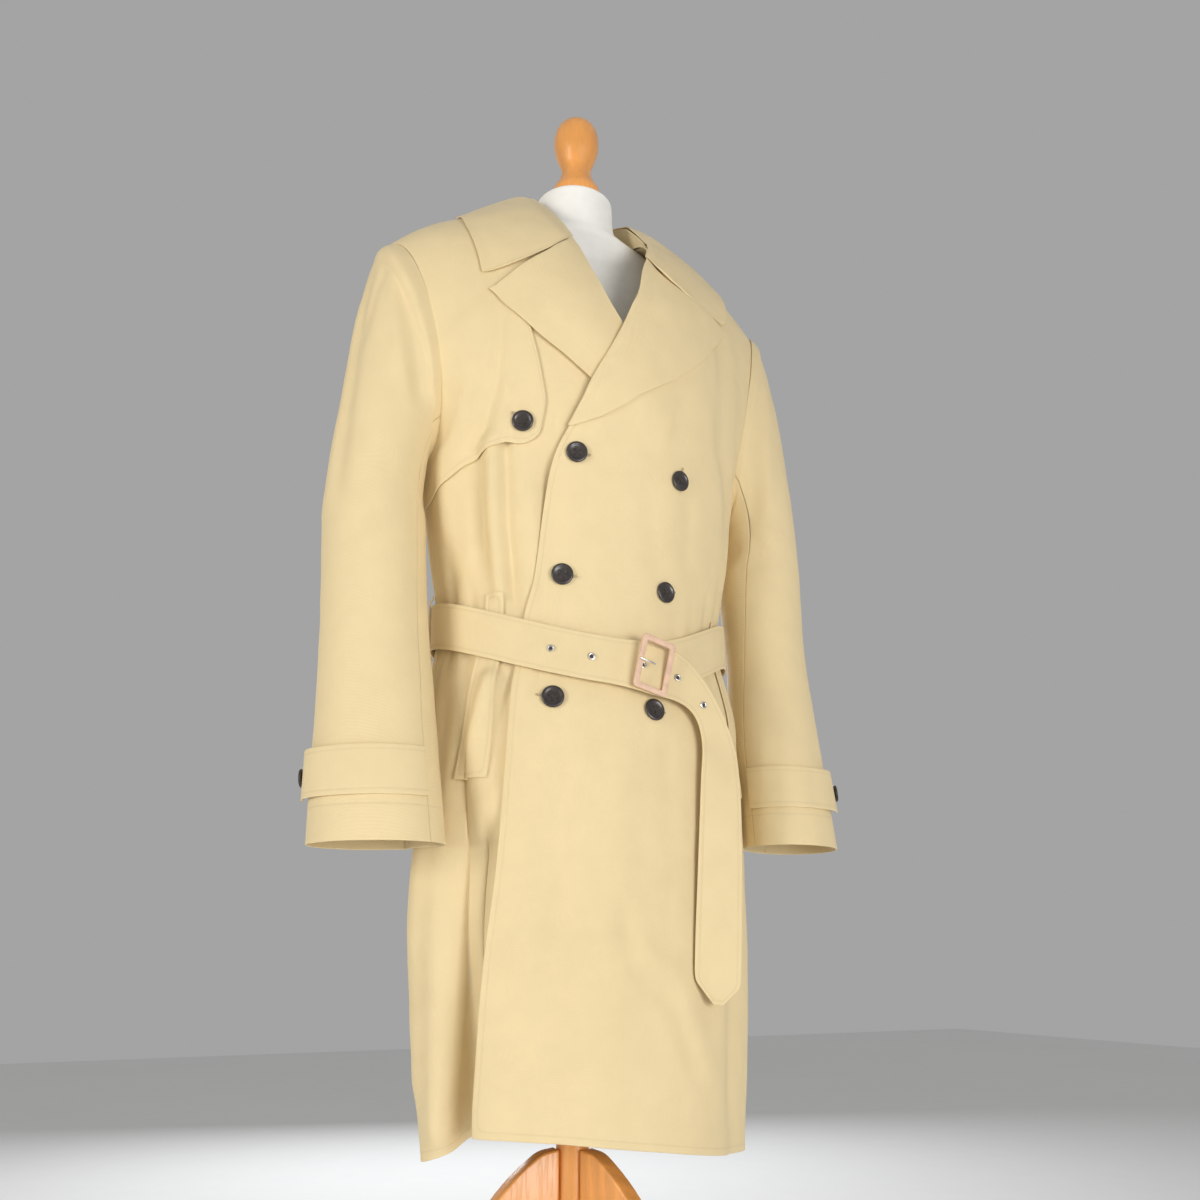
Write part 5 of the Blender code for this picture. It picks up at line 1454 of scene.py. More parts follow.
def welt(side, hand):
    """Slanted welt of a side pocket."""
    def place(a, b):
        z = lerp(WELT_FOOT[0], WELT_TOP[0], b)
        far = lerp(WELT_FOOT[1], WELT_TOP[1], b)
        near = lerp(WELT_FOOT[2], WELT_TOP[2], b ** 0.7)
        w = lerp(far, near, a) if side < 0 else lerp(-near, -far, a)
        v = (z - PIT_Z) / UPPER
        rise = left_rise(w, v) if side > 0 else 0.0
        return moved_out(front_at, w, v, WELT_OFF + rise)
    front = hand + "_front"
    made = cloth(hand + "_pocket_welt", place, 12, 40, [front + "_dressed"], lift=body_lift(front),
                 seams="low high left right", inset=0.0045)
    return settle(made, [dressed(front)])


# ---- belt
BELT_OFF_FRONT = 0.0075
BELT_OFF_BACK = 0.0036
BELT_START = 6.0  # angle where the belt is held by the buckle

# Hanging end: lower or left edge x, z, then upper or right edge x, z, then how far each stands off
TAIL = (
    (-0.002, 0.808, 0.012, 0.8618, 0.012, 0.012),
    (0.02, 0.8033, 0.037, 0.8582, 0.0135, 0.014),
    (0.042, 0.801, 0.0605, 0.846, 0.014, 0.0195),
    (0.0608, 0.7945, 0.0855, 0.819, 0.014, 0.024),
    (0.0733, 0.78, 0.105, 0.79, 0.014, 0.0255),
    (0.0775, 0.756, 0.121, 0.758, 0.014, 0.027),
    (0.0745, 0.726, 0.1235, 0.725, 0.013, 0.03),
    (0.0707, 0.6834, 0.1202, 0.6807, 0.012, 0.033),
    (0.0655, 0.625, 0.1154, 0.6212, 0.011, 0.034),
    (0.0604, 0.5733, 0.1099, 0.5688, 0.011, 0.0345),
    (0.0576, 0.5331, 0.106, 0.5245, 0.011, 0.0345),
)
EYELET_ROWS = (0.1, 1.8, 3.3)  # eyelets of the hanging end, between its rows
TAIL_TIP = (0.0752, 0.51, 0.085, 0.5087, 0.02, 0.024)


def belt_at(angle, up, extra=0.0):
    """Belt surface at an angle and a share of its half width."""
    turn = abs((angle + 180.0) % 360.0 - 180.0)
    off = lerp(BELT_OFF_FRONT, BELT_OFF_BACK, smooth((turn - 70.0) / 50.0))
    z = belt_height(angle) + up * 0.5 * BELT_WIDTH
    return shell(angle, z, off + extra)


def on_front(x, z, off):
    """Point in front of the coat's front at a place x and height z, folds left out."""
    half = table(SECTIONS, z, HALF)
    reach = sqrt(max(0.05, 1.0 - ((x - table(SECTIONS, z, MID_X)) / half) ** 2))
    return Vector((x, table(SECTIONS, z, MID_Y) - table(SECTIONS, z, FRONT) * reach - off, z))


def tail_spot(row):
    """Middle of the hanging end at a place between its rows, and the direction it faces."""
    first = int(row)
    pairs = []
    for x0, z0, x1, z1, off0, off1 in TAIL[first:first + 2]:
        pairs.append((on_front(x0, z0, off0), on_front(x1, z1, off1)))
    (low, high), (low_on, high_on) = pairs
    point = lerp(low + high, low_on + high_on, row - first) * 0.5
    return point, (low_on + high_on - low - high).cross(high - low).normalized()


def belt():
    """One strap: from the buckle round the back to the buckle again, then its hanging end."""
    lows = []
    highs = []
    steps = 38
    for i in range(steps + 1):
        angle = lerp(BELT_START, 360.0 - 5.0, i / steps)
        near_end = smooth((angle - 300.0) / 55.0)
        lean = 0.004 * near_end
        lows.append(belt_at(angle - 3.0 * near_end, -1.0, lean))
        highs.append(belt_at(angle + 3.0 * near_end, 1.0, lean))
    for x0, z0, x1, z1, off0, off1 in TAIL + (TAIL_TIP,):
        lows.append(on_front(x0, z0, off0))
        highs.append(on_front(x1, z1, off1))
    held = (len(lows) - 2) / (len(lows) - 1)

    def place(a, b):
        if a > held:
            t = (a - held) / (1.0 - held)
            low = lerp(lows[-2], lows[-1], t)
            high = lerp(highs[-2], highs[-1], t)
        else:
            low = curve(lows[:-1], a / held)
            high = curve(highs[:-1], a / held)
        return lerp(low, high, b)
    made = cloth("belt", place, 5 * (len(lows) - 1), 10, ["back_dressed", "left_front_dressed"],
                 seams="low high right", inset=0.004)
    beneath = ["right_front", "left_front", "back", "right_pocket_welt", "left_pocket_welt"]
    return settle(made, [dressed(name) for name in beneath], spread=3)


LOOP_ANGLE = 97.0
LOOP_HALF = 0.036  # half height
LOOP_WIDE = 1.6  # half width in degrees
LOOP_OFF = 0.0024  # rise of its ends, and how much more its middle stands off
LOOP_BOW = 0.0052


def belt_loop(side, hand):
    """Loop of cloth that holds the belt at the side."""
    def place(a, b):
        z = belt_height(LOOP_ANGLE) + lerp(-LOOP_HALF, LOOP_HALF, b)
        bow = smooth(min(b, 1.0 - b) / 0.14)
        angle = LOOP_ANGLE + lerp(-LOOP_WIDE, LOOP_WIDE, a) * side
        return shell(side * angle, z, LOOP_OFF + LOOP_BOW * bow)
    made = cloth(hand + "_belt_loop", place, 6, 40, ["back_dressed"], seams="left right", inset=0.0015)
    return settle(made, [dressed("belt"), dressed("back")], spread=2)


BUCKLE_AT = (0.017, 0.834)  # centre x, z
BUCKLE_SIZE = (0.04, 0.058)
BUCKLE_BAR = 0.0062
BUCKLE_ROUND = 0.0045
BUCKLE_INNER = 0.0016
BUCKLE_THICK = 0.0035
BUCKLE_TURN = -14.0
BUCKLE_OFF = 0.0168
BUCKLE_CHORD = 0.015  # half of the stretch over which the front's direction is measured
PRONG_R = 0.0011
PRONG_LENGTH = 0.019
PRONG_X = -0.0105  # middle of the pin beside the buckle's
PRONG_RISE = 0.0015  # height of its axis over the frame


def buckle_frame():
    """Matrix that lays a piece on the buckle's face."""
    centre = on_front(BUCKLE_AT[0], BUCKLE_AT[1], BUCKLE_OFF)
    left = on_front(BUCKLE_AT[0] - BUCKLE_CHORD, BUCKLE_AT[1], BUCKLE_OFF)
    right = on_front(BUCKLE_AT[0] + BUCKLE_CHORD, BUCKLE_AT[1], BUCKLE_OFF)
    yaw = atan2(right.y - left.y, right.x - left.x)
    spin = Matrix.Rotation(radians(BUCKLE_TURN), 4, 'Y').inverted()
    return Matrix.Translation(centre) @ Matrix.Rotation(yaw, 4, 'Z') @ spin


def small_part(node, builder, finish, levels=0, sharp=None):
    """Finish a stiff piece that stands for a node."""
    made = add_piece(node + "_dressed", builder, finish, 0.0, levels, sharp)
    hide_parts(node)
    return made


def buckle():
    """Covered rectangular frame with rounded bars."""
    ring = bmesh.new()
    half_w = 0.5 * BUCKLE_SIZE[0]
    half_h = 0.5 * BUCKLE_SIZE[1]
    outer = []
    inner = []
    for sign_x, sign_z, start in ((1, 1, 0), (-1, 1, 90), (-1, -1, 180), (1, -1, 270)):
        window = Vector((sign_x * (half_w - BUCKLE_BAR - BUCKLE_INNER), 0.0,
                         sign_z * (half_h - BUCKLE_BAR - BUCKLE_INNER)))
        corner = Vector((sign_x * (half_w - BUCKLE_ROUND), 0.0, sign_z * (half_h - BUCKLE_ROUND)))
        for k in range(7):
            a = radians(start + 15.0 * k)
            way = Vector((cos(a), 0.0, sin(a)))
            outer.append(ring.verts.new(corner + way * BUCKLE_ROUND))
            inner.append(ring.verts.new(window + way * BUCKLE_INNER))
    count = len(outer)
    for i in range(count):
        j = (i + 1) % count
        ring.faces.new((outer[i], outer[j], inner[j], inner[i]))
    thicken(ring, ring.faces, (0.0, -BUCKLE_THICK, 0.0))
    bmesh.ops.recalc_face_normals(ring, faces=ring.faces)
    soften(ring, 60.0, 0.0013, 4)
    bmesh.ops.transform(ring, matrix=buckle_frame(), verts=ring.verts)
    return small_part("buckle", ring, buckle_leather())


def prong():
    """Pin of the buckle, over its left bar."""
    pin = bmesh.new()
    bmesh.ops.create_cone(pin, cap_ends=True, segments=24, radius1=PRONG_R, radius2=PRONG_R,
                          depth=PRONG_LENGTH)
    soften(pin, 60.0, 0.0009, 4)
    bmesh.ops.transform(pin, matrix=Matrix.Rotation(pi / 2, 4, 'Y'), verts=pin.verts)
    bmesh.ops.translate(pin, verts=pin.verts, vec=(PRONG_X, -BUCKLE_THICK - PRONG_RISE, 0.0))
    bmesh.ops.transform(pin, matrix=buckle_frame(), verts=pin.verts)
    return small_part("buckle_prong", pin, nickel(), sharp=40.0)


EYELET_PROFILE = (
    (0.0018, 0), (0.0037, 0), (0.0038, 0.0004), (0.0035, 0.0009), (0.0029, 0.0011),
    (0.0023, 0.001), (0.0019, 0.0006), (0.0018, 0),
)


def eyelets():
    """Five eyelets: two before the buckle, one under its pin and two beyond it, each with a dark disc of
    painted shade in its hole.
    """
    strap = dressed("belt")
    spots = []
    for angle in (-28.5, -15.0):
        point = belt_at(angle, 0.0)
        spots.append((point, (belt_at(angle, 0.0, 0.05) - point).normalized()))
    spots += [tail_spot(row) for row in EYELET_ROWS]
    made = []
    for n, (point, normal) in enumerate(spots):
        ring = bmesh.new()
        turned(ring, EYELET_PROFILE, 28)
        # painted shade: a dark disc in the thread's finish stands for the shadow inside the eyelet's hole
        dark = bmesh.ops.create_circle(ring, cap_ends=True, segments=20, radius=0.0018)
        bmesh.ops.translate(ring, verts=dark["verts"], vec=(0.0, 0.0, 0.0001))
        bmesh.ops.transform(ring, matrix=facing(point, normal), verts=ring.verts)
        node = "eyelet_%d" % (n + 1)
        item = small_part(node, ring, nickel(), sharp=40.0)
        item.data.materials.append(sewing_thread())
        # the disc's face takes the dark thread finish as painted shade
        for face in item.data.polygons:
            face.material_index = 1 if len(face.vertices) == 20 else 0
        made.append(rest_on(item, [strap], normal))
    return made


# ---- buttons and buttonholes
# Buttons of the fronts and the flap: name, place w, patch height v, piece
FRONT_BUTTONS = (
    ("button_top_right", -0.214, -0.024, "left_front"),
    ("button_top_left", 0.2, -0.056, "left_front"),
    ("button_middle_right", -0.275, -0.463, "left_front"),
    ("button_middle_left", 0.17, -0.479, "left_front"),
    ("button_bottom_right", -0.314, -0.896, "left_front"),
    ("button_bottom_left", 0.074, -0.916, "left_front"),
    ("button_flap", -0.44, 0.09, "gun_flap"),
)
BUTTON_HIGH = 0.01  # a button is dropped onto its piece from this height
# Buttonholes that peep out beside a button: name, place w, patch height v, angle, reach, piece
BUTTONHOLES = (
    ("top_right", -0.214, -0.024, -8.0, 0.004, "left_front"),
    ("top_left", 0.205, -0.052, 82.0, 0.0042, "left_front"),
    ("middle_right", -0.275, -0.463, -6.0, 0.0045, "left_front"),
    ("middle_left", 0.17, -0.479, 12.0, 0.003, "left_front"),
    ("bottom_right", -0.314, -0.896, 172.0, 0.0045, "left_front"),
    ("bottom_left", 0.074, -0.916, -8.0, 0.0025, "left_front"),
    ("flap", -0.44, 0.09, 140.0, 0.004, "gun_flap"),
)
BUTTON_PROFILE = (
    # share of the radius, height
    (0, 0.0004), (0.7, 0.0002), (0.93, 0.0006), (1, 0.0016), (0.99, 0.0026), (0.9, 0.0034),
    (0.76, 0.0034), (0.66, 0.0027), (0.5, 0.0024), (0.22, 0.0024), (0, 0.0024),
)
OCTAGON = 1.108  # a softened octagon lies this much inside its corners
WEB_Z = 0.00235  # the dished middle lies above this height
WEB_RING = (0.24, 0.52)  # and the holes between these shares of the radius
HOLE_RIM = 0.1  # share of the radius that each hole keeps as a rim
HOLE_DEPTH = 0.0012
STRAND_R = 0.00042
SLIT_R = 0.0014  # half width of a buttonhole, and height and width of its stitched rim
SLIT_RISE = 0.0007
SLIT_RIM = 0.0008
SLIT_DEPTH = 0.0005


def button(node, radius, point, normal, spin, beneath):
    """Dished sew-through button with four holes and its crossed thread, lying on the cloth."""
    disc = bmesh.new()
    turned(disc, [(radius * OCTAGON * share, height) for share, height in BUTTON_PROFILE], 8)
    low, high = (share * radius for share in WEB_RING)
    web = [f for f in disc.faces if f.calc_center_median().z > WEB_Z and f.normal.z > 0.9
           and low < Vector(f.calc_center_median()[:2]).length < high]
    web.sort(key=lambda f: atan2(f.calc_center_median().y, f.calc_center_median().x))
    holes = web[::2]
    bmesh.ops.inset_individual(disc, faces=holes, thickness=HOLE_RIM * radius, use_even_offset=True)
    sunk = bmesh.ops.extrude_discrete_faces(disc, faces=holes)["faces"]
    bmesh.ops.translate(disc, verts=list({v for f in sunk for v in f.verts}), vec=(0.0, 0.0, -HOLE_DEPTH))
    pole = [Vector(f.calc_center_median()) for f in sunk]
    bmesh.ops.transform(disc, matrix=facing(point, normal, spin), verts=disc.verts)
    made = small_part(node, disc, dark_horn(), levels=2)
    rest_on(made, [beneath], normal)
    thread = bmesh.new()
    for one, two in ((0, 2), (1, 3)):
        way = Vector((pole[two].x - pole[one].x, pole[two].y - pole[one].y, 0.0))
        strand = bmesh.ops.create_cone(thread, cap_ends=True, segments=10, radius1=STRAND_R,
                                       radius2=STRAND_R, depth=way.length * 1.04)["verts"]
        bmesh.ops.transform(thread, matrix=Matrix.Rotation(pi / 2, 4, 'Y'), verts=strand)
        bmesh.ops.rotate(thread, verts=strand, matrix=Matrix.Rotation(atan2(way.y, way.x), 3, 'Z'))
        bmesh.ops.translate(thread, verts=strand, vec=(0.0, 0.0, 0.0026 + 0.0003 * one))
    lowest = min(v.co.dot(normal) for v in made.data.vertices)
    foot = point + normal * (lowest - point.dot(normal) - SHIFT.dot(normal))
    bmesh.ops.transform(thread, matrix=facing(foot, normal, spin), verts=thread.verts)
    add_piece(node + "_thread", thread, sewing_thread())
    return made


def buttonhole(name, w, v, angle, reach, node):
    """Embroidered slit that peeps out from under its button."""
    point, normal = surface_spot(front_at, w, v, node)
    length = 2.0 * (BUTTON_R + reach)
    loop = bmesh.new()
    bmesh.ops.create_circle(loop, cap_ends=True, segments=24, radius=SLIT_R)
    for vert in loop.verts:
        vert.co.x += 0.5 * length - SLIT_R if vert.co.x > 0.0 else 0.001 - 0.5 * BUTTON_R
    thicken(loop, loop.faces, (0.0, 0.0, SLIT_RISE))
    top = [f for f in loop.faces if f.normal.z > 0.9 and f.calc_center_median().z > 0.5 * SLIT_RISE]
    bmesh.ops.inset_region(loop, faces=top, thickness=SLIT_RIM)
    bmesh.ops.translate(loop, verts=top[0].verts, vec=(0.0, 0.0, -SLIT_DEPTH))
    bmesh.ops.recalc_face_normals(loop, faces=loop.faces)
    upright = Matrix.Rotation(radians(angle), 4, 'Z')
    across = Vector((0.0, 0.0, 1.0)).cross(normal).normalized()
    rise = normal.cross(across)
    base = Matrix((across, rise, normal)).transposed().to_4x4()
    placing = Matrix.Translation(point - SHIFT + normal * 0.0001) @ base @ upright
    bmesh.ops.transform(loop, matrix=placing, verts=loop.verts)
    return add_piece("buttonhole_" + name, loop, buttonhole_silk(), sharp=40.0)


SPOT_OFF = 0.03  # a spot on a piece is looked for from this far off


def surface_spot(surface, w, v, node):
    """Point and outward direction on a dressed piece, in the model's frame."""
    point = moved_out(surface, w, v, SPOT_OFF)
    normal = (point - surface(w, v)).normalized()
    tree = outer_of(dressed(node))[1]
    hit = tree.ray_cast(point + SHIFT, -normal, 2.0 * SPOT_OFF)
    return (hit[0], hit[1]) if hit[0] is not None else (point + SHIFT - normal * SPOT_OFF, normal)


def front_buttons():
    """Six buttons on the double-breasted front and one on the gun flap."""
    for n, (name, w, v, node) in enumerate(FRONT_BUTTONS):
        point = moved_out(front_at, w, v, BUTTON_HIGH)
        normal = (point - front_at(w, v)).normalized()
        button(name, BUTTON_R, point, normal, 0.4 + 0.5 * n, dressed(node))


def cuff_button(side, hand):
    """Button that holds a cuff strap's point."""
    turn = STRAP_BUTTON + STRAP_FORWARD[side] + SLEEVE_TWIST[side]
    point = sleeve_out(side, sleeve_t(STRAP_Z), turn, BUTTON_HIGH)
    out = (sleeve_out(side, sleeve_t(STRAP_Z), turn, SPOT_OFF) - point).normalized()
    button(hand + "_cuff_button", CUFF_BUTTON_R, point, out, 0.6, dressed(hand + "_cuff_strap"))


# ---- dress form and stand
# Form sections: height, half width, half depth, centre y
FORM = (
    (0.69, 0.13, 0.082, -0.014),
    (0.7, 0.148, 0.096, -0.014),
    (0.78, 0.15, 0.096, -0.014),
    (0.886, 0.14, 0.086, -0.012),
    (1, 0.156, 0.096, -0.01),
    (1.12, 0.168, 0.098, -0.01),
    (1.22, 0.172, 0.09, -0.008),
    (1.29, 0.168, 0.072, -0.004),
    (1.34, 0.16, 0.052, -0.002),
    (1.375, 0.14, 0.04, 0),
    (1.4029, 0.105, 0.04, 0.004),
    (1.414, 0.072, 0.044, 0.008),
    (1.422, 0.054, 0.046, 0.011),
    (1.445, 0.049, 0.047, 0.013),
    (1.47, 0.048, 0.047, 0.013),
    (1.475, 0.044, 0.043, 0.013),
)
FORM_STEPS = 6  # rings of faces between two sections
NECK_LEAN = 0.008  # how far the finial sits behind the post's axis


def dress_form():
    """Smooth limbless torso with its neck."""
    loft = bmesh.new()
    heights = [lerp(low[0], high[0], k / FORM_STEPS) for low, high in zip(FORM, FORM[1:])
               for k in range(FORM_STEPS)] + [FORM[-1][0]]
    spans = len(heights) - 1
    bmesh.ops.create_grid(loft, x_segments=96, y_segments=spans, size=0.5)
    for vert in loft.verts:
        z = heights[round((vert.co.y + 0.5) * spans)]
        a = 2.0 * pi * (vert.co.x + 0.5)
        vert.co = Vector((table(FORM, z, 1) * sin(a), table(FORM, z, 3) - table(FORM, z, 2) * cos(a), z))
    bmesh.ops.remove_doubles(loft, verts=loft.verts, dist=1e-6)
    bmesh.ops.holes_fill(loft, edges=[e for e in loft.edges if e.is_boundary])
    bmesh.ops.recalc_face_normals(loft, faces=loft.faces)
    soften(loft, 40.0, 0.002, 3)
    return small_part("dress_form", loft, form_jersey(), sharp=50.0)


FINIAL_PROFILE = (
    (0, 1.4755), (0.03, 1.4755), (0.0312, 1.483), (0.03, 1.492), (0.024, 1.503),
    (0.0195, 1.515), (0.019, 1.525), (0.0225, 1.536), (0.0268, 1.549), (0.0288, 1.564),
    (0.0275, 1.577), (0.0235, 1.5875), (0.0165, 1.5955), (0.008, 1.599), (0, 1.6),
)
POST_PROFILE = (
    (0, 0.19), (0.015, 0.19), (0.0165, 0.1915), (0.0165, 0.34), (0.0165, 0.66),
    (0.0205, 0.6625), (0.0225, 0.666), (0.0236, 0.673), (0.024, 0.68), (0.024, 0.6885),
    (0.023, 0.6895), (0, 0.6895),
)
# Leg outline in radius and height: the convex top edge, then the underside
LEG_TOP = (
    (0.017, 0.372), (0.042, 0.364), (0.086, 0.323), (0.13, 0.248), (0.175, 0.15),
    (0.225, 0.072), (0.285, 0.042), (0.3, 0.026), (0.3, 0),
)
LEG_UNDER = (
    (0.25, 0), (0.205, 0.022), (0.15, 0.08), (0.105, 0.16), (0.055, 0.215), (0.017, 0.23),
)
LEG_AZIMUTHS = (-65.0 - 120.0, -65.0, -65.0 + 120.0)
LEG_BOARD = 0.02


def finial():
    """Turned knob on the form's neck."""
    knob = bmesh.new()
    points = [Vector((r, z, 0.0)) for r, z in FINIAL_PROFILE[1:]]
    fine = [curve(points, k / 60.0) for k in range(61)]
    turned(knob, [(0.0, FINIAL_PROFILE[0][1])] + [(max(0.0, p.x), p.y) for p in fine[:-1]]
           + [FINIAL_PROFILE[-1]], 64, (0.0, NECK_LEAN))
    return small_part("finial", knob, beech(), sharp=60.0)


def post():
    """Turned post between the legs and the form."""
    rod = bmesh.new()
    turned(rod, POST_PROFILE, 64)
    return small_part("post", rod, beech(), sharp=50.0)


def leg(node, azimuth):
    """Flat wooden leg with a convex top edge and softened arrises."""
    board = bmesh.new()
    half = 0.5 * LEG_BOARD
    top = [Vector((r, -half, z)) for r, z in LEG_TOP]
    points = [curve(top[:-2], k / 40.0) for k in range(41)] + top[-2:]
    under = [Vector((r, -half, z)) for r, z in LEG_UNDER]
    points += [curve(under, k / 28.0) for k in range(29)]
    board.faces.new([board.verts.new(p) for p in points])
    thicken(board, board.faces, (0.0, LEG_BOARD, 0.0))
    bmesh.ops.recalc_face_normals(board, faces=board.faces)
    soften(board, 60.0, 0.0022, 3)
    turn = Matrix.Rotation(radians(azimuth), 3, 'Z')
    bmesh.ops.rotate(board, verts=board.verts, cent=(0.0, 0.0, 0.0), matrix=turn)
    return small_part(node, board, beech(), sharp=30.0)


# ---- panel, sizes and operators
def colour_of(label, about, default):
    """Colour of the panel."""
    return FloatVectorProperty(name=label, description=about, default=default, size=3, min=0.0, max=1.0,
                               subtype='COLOR')


class CoatSettings(bpy.types.PropertyGroup):
    """Sizes and colours of the coat, its buttons and its form."""
    cloth_wall: FloatProperty(name="Cloth wall", description="Thickness of the coat's cloth", default=0.0018,
                              min=0.001, max=0.003, precision=4, unit='LENGTH')
    crease_depth: FloatProperty(name="Crease depth", description="Factor on the height of every crease",
                                default=1.5, min=0.0, max=2.0, subtype='FACTOR')
    stitch_length: FloatProperty(name="Stitch length", description="Length of one stitch and its gap",
                                 default=0.0034, min=0.001, max=0.01, precision=4, unit='LENGTH')
    twill_ribs: FloatProperty(name="Twill ribs", description="Scale of the twill's diagonal ribs",
                              default=190.0, min=20.0, max=400.0)
    cloth_colour: colour_of("Cloth colour", "Colour of the gabardine", (0.8, 0.645, 0.37))
    button_colour: colour_of("Button colour", "Colour of the horn buttons", (0.028, 0.022, 0.02))
    # this colour is also the painted shade inside the eyelets' holes
    thread_and_hole_shade_colour: colour_of("Thread colour", "Colour of the buttons' thread", (0.05, 0.042, 0.036))
    buckle_colour: colour_of("Buckle colour", "Colour of the buckle's leather", (0.74, 0.5, 0.36))
    form_colour: colour_of("Form colour", "Colour of the form's jersey", (0.95, 0.94, 0.9))
    wood_colour: colour_of("Wood colour", "Colour of the finial, post and legs", (0.83, 0.36, 0.09))


class StudioSettings(bpy.types.PropertyGroup):
    """Floor, light and camera."""
    floor_colour: colour_of("Floor colour", "Colour of the plain floor", (0.86, 0.86, 0.85))
    key_power: FloatProperty(name="Key light", description="Power of the large soft light", default=44.0,
                             min=0.0, unit='POWER')
    fill_power: FloatProperty(name="Fill light", description="Power of the lights in front and behind",
                              default=41.0, min=0.0, unit='POWER')
    sky_strength: FloatProperty(name="Room light", description="Strength of the room's even light",
                                default=0.37, min=0.0, max=5.0)
    camera_reach: FloatProperty(name="Camera reach", description="Level distance from the post to the camera",
                                default=1.2555, min=0.5, max=5.0, precision=4, unit='LENGTH')
    camera_height: FloatProperty(name="Camera height", description="Height of the camera over the floor",
                                 default=0.558, min=0.1, max=3.0, precision=3, unit='LENGTH')
    camera_azimuth: FloatProperty(name="Camera azimuth", description="Camera's angle from the centre front",
                                  default=radians(-25.0), unit='ROTATION')
    camera_tilt: FloatProperty(name="Camera tilt", description="Upward tilt of the camera",
                               default=radians(17.0), unit='ROTATION')
    focal_length: FloatProperty(name="Focal length", description="Millimetres on a 36 mm wide sensor",
                                default=34.5, min=10.0, max=200.0)


class COAT_OT_right_side(bpy.types.Operator):
    """Lay the back, the right front, the gun flap and the right lapel"""
    bl_idname = "coat.right_side"
    bl_label = "Back, right front and flap"

    def execute(self, context):
        right_front()
        back()
        gun_flap()
        lapel(-1, "right_lapel", RIGHT_LAPEL, v_low=0.1, base_in=0.003, base_out=0.0056,
              beneath=["right_front", "gun_flap"])
        return {'FINISHED'}


class COAT_OT_left_side(bpy.types.Operator):
    """Lay the left front over the right one, and its lapel"""
    bl_idname = "coat.left_side"
    bl_label = "Left front and lapel"

    def execute(self, context):
        left_front()
        lapel(1, "left_lapel", LEFT_LAPEL, v_low=0.062, base_in=0.005, base_out=0.0056,
              beneath=["left_front", "right_lapel"])
        return {'FINISHED'}


class COAT_OT_collar(bpy.types.Operator):
    """Set the collar stand on the neckline and fold the collar over it"""
    bl_idname = "coat.collar"
    bl_label = "Collar and its stand"

    def execute(self, context):
        collar_stand()
        collar()
        return {'FINISHED'}


class COAT_OT_sleeves(bpy.types.Operator):
    """Hang both sleeves and put the straps round their cuffs"""
    bl_idname = "coat.sleeves"
    bl_label = "Sleeves and cuff straps"

    def execute(self, context):
        for side, hand in SIDES:
            sleeve(side, hand)
            cuff_strap(side, hand)
        return {'FINISHED'}


class COAT_OT_welts(bpy.types.Operator):
    """Lay the slanted welts of both pockets"""
    bl_idname = "coat.welts"
    bl_label = "Pocket welts"

    def execute(self, context):
        for side, hand in SIDES:
            welt(side, hand)
        return {'FINISHED'}


class COAT_OT_belt(bpy.types.Operator):
    """Draw the belt round the waist and sew its loops"""
    bl_idname = "coat.belt"
    bl_label = "Belt and loops"

    def execute(self, context):
        belt()
        for side, hand in SIDES:
            belt_loop(side, hand)
        return {'FINISHED'}


class COAT_OT_buckle(bpy.types.Operator):
    """Set the eyelets, the covered buckle and its pin"""
    bl_idname = "coat.buckle"
    bl_label = "Buckle and eyelets"

    def execute(self, context):
        holes = eyelets()
        out = buckle_frame().to_3x3() @ Vector((0.0, -1.0, 0.0))
        strap = dressed("belt")
        frame_piece = rest_on(buckle(), [strap], out)
        rest_on(prong(), [strap, frame_piece, holes[2]], out)
        return {'FINISHED'}


class COAT_OT_buttons(bpy.types.Operator):
    """Sew the front, flap and cuff buttons and their buttonholes"""
    bl_idname = "coat.buttons"
    bl_label = "Buttons and buttonholes"

    def execute(self, context):
        for name, w, v, angle, reach, node in BUTTONHOLES:
            buttonhole(name, w, v, angle, reach, node)
        front_buttons()
        for side, hand in SIDES:
            cuff_button(side, hand)
        return {'FINISHED'}


class COAT_OT_form(bpy.types.Operator):
    """Make the limbless form that wears the coat"""
    bl_idname = "coat.form"
    bl_label = "Dress form"

    def execute(self, context):
        dress_form()
        return {'FINISHED'}


class COAT_OT_stand(bpy.types.Operator):
    """Turn the finial and the post and cut the three legs"""
    bl_idname = "coat.stand"
    bl_label = "Finial, post and legs"

    def execute(self, context):
        finial()
        post()
        for n, azimuth in enumerate(LEG_AZIMUTHS):
            leg("leg_%d" % (n + 1), azimuth)
        return {'FINISHED'}


# Lights: name, place, point they are aimed at, width and height, colour, setting of their power
LIGHTS = (
    ("window_light", (-3.1, -1.05, 0.95), (0.0, 0.0, 0.8), (1.0, 1.1), (1.0, 0.97, 0.91), "key_power"),
    ("fill_light", (0.55, -2.85, 0.6), (0.0, 0.0, 0.8), (1.4, 1.0), (1.0, 0.98, 0.95), "fill_power"),
    ("back_light", (0.8, 2.6, 1.6), (0.0, 0.0, 0.9), (1.8, 1.4), (0.95, 0.97, 1.0), "fill_power"),
)
FLOOR_HALF = 6.0
SENSOR = 36.0  # width in millimetres
PICTURE = 1200.0  # width that the next length is counted in
AIM_LEFT = 25.0  # the camera's axis passes this far to the left of the post


def area_light(name, place, aim, size, colour, power):
    """Large soft light aimed at a point."""
    light = bpy.data.lights.new(name, 'AREA')
    light.shape = 'RECTANGLE'
    light.size, light.size_y = size
    light.energy = power
    light.color = colour
    lamp = bpy.data.objects.new(name, light)
    lamp.location = place
    lamp.rotation_euler = (Vector(aim) - Vector(place)).to_track_quat('-Z', 'Y').to_euler()
    bpy.context.scene.collection.objects.link(lamp)


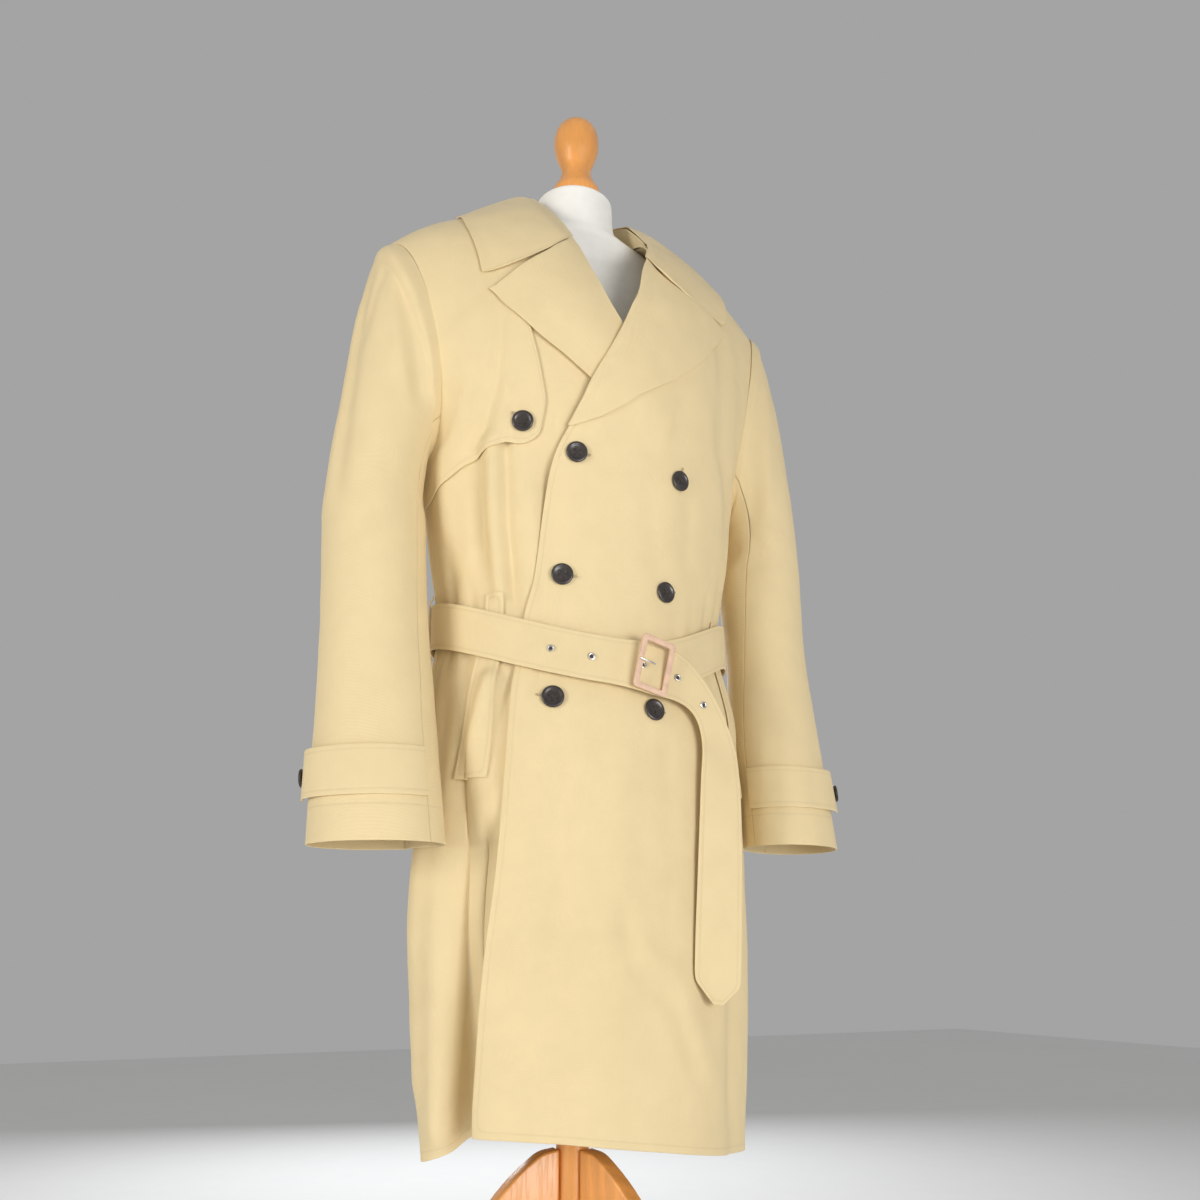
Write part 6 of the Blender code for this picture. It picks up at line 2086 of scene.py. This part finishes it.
class COAT_OT_studio(bpy.types.Operator):
    """Lay the plain floor and place the soft lights and the camera"""
    bl_idname = "coat.studio"
    bl_label = "Floor, light and camera"

    def execute(self, context):
        studio = context.scene.studio
        ground = bmesh.new()
        bmesh.ops.create_grid(ground, x_segments=2, y_segments=2, size=FLOOR_HALF)
        mesh = bpy.data.meshes.new("floor")
        ground.to_mesh(mesh)
        ground.free()
        mesh.materials.append(floor_finish())
        floor = bpy.data.objects.new("floor", mesh)
        context.scene.collection.objects.link(floor)
        world = bpy.data.worlds.new("soft_room")
        world.use_nodes = True
        sky = world.node_tree.nodes["Background"]
        sky.inputs["Color"].default_value = (1.0, 1.0, 1.0, 1.0)
        sky.inputs["Strength"].default_value = studio.sky_strength
        context.scene.world = world
        context.scene.view_settings.view_transform = 'Standard'
        for *looks, power in LIGHTS:
            area_light(*looks, getattr(studio, power))
        camera = bpy.data.cameras.new("camera")
        camera.lens = studio.focal_length
        camera.sensor_width = SENSOR
        camera.dof.use_dof = False
        eye = bpy.data.objects.new("camera", camera)
        turn = studio.camera_azimuth
        reach = studio.camera_reach
        eye.location = SHIFT + Vector((sin(turn) * reach, -cos(turn) * reach, studio.camera_height))
        yaw = atan(-AIM_LEFT / (PICTURE * studio.focal_length / SENSOR))
        eye.rotation_euler = (radians(90.0) + studio.camera_tilt, 0.0, turn + yaw)
        context.scene.collection.objects.link(eye)
        context.scene.camera = eye
        return {'FINISHED'}


OPERATORS = (
    COAT_OT_right_side, COAT_OT_left_side, COAT_OT_collar, COAT_OT_sleeves, COAT_OT_welts, COAT_OT_belt,
    COAT_OT_buckle, COAT_OT_buttons, COAT_OT_form, COAT_OT_stand, COAT_OT_studio,
)


class COAT_PT_panel(bpy.types.Panel):
    """Sizes, colours and steps of the coat"""
    bl_label = "Trench coat"
    bl_idname = "COAT_PT_panel"
    bl_space_type = 'VIEW_3D'
    bl_region_type = 'UI'
    bl_category = "Coat"

    def draw(self, context):
        layout = self.layout
        for group_of in (context.scene.coat, context.scene.studio):
            column = layout.column(align=True)
            for name in group_of.__annotations__:
                column.prop(group_of, name)
        for step in OPERATORS:
            layout.operator(step.bl_idname)


def register():
    """Register the settings, the operators and the panel."""
    for item in (CoatSettings, StudioSettings) + OPERATORS + (COAT_PT_panel,):
        bpy.utils.register_class(item)
    bpy.types.Scene.coat = PointerProperty(type=CoatSettings)
    bpy.types.Scene.studio = PointerProperty(type=StudioSettings)


def unregister():
    """Take them back out."""
    del bpy.types.Scene.studio
    del bpy.types.Scene.coat
    for item in (COAT_PT_panel,) + OPERATORS[::-1] + (StudioSettings, CoatSettings):
        bpy.utils.unregister_class(item)


def main():
    """Make the coat, its form, its stand and the studio."""
    register()
    bpy.ops.coat.form()
    bpy.ops.coat.right_side()
    bpy.ops.coat.left_side()
    bpy.ops.coat.collar()
    bpy.ops.coat.sleeves()
    bpy.ops.coat.welts()
    bpy.ops.coat.belt()
    bpy.ops.coat.buckle()
    bpy.ops.coat.buttons()
    bpy.ops.coat.stand()
    bpy.ops.coat.studio()


if __name__ == "__main__":
    main()
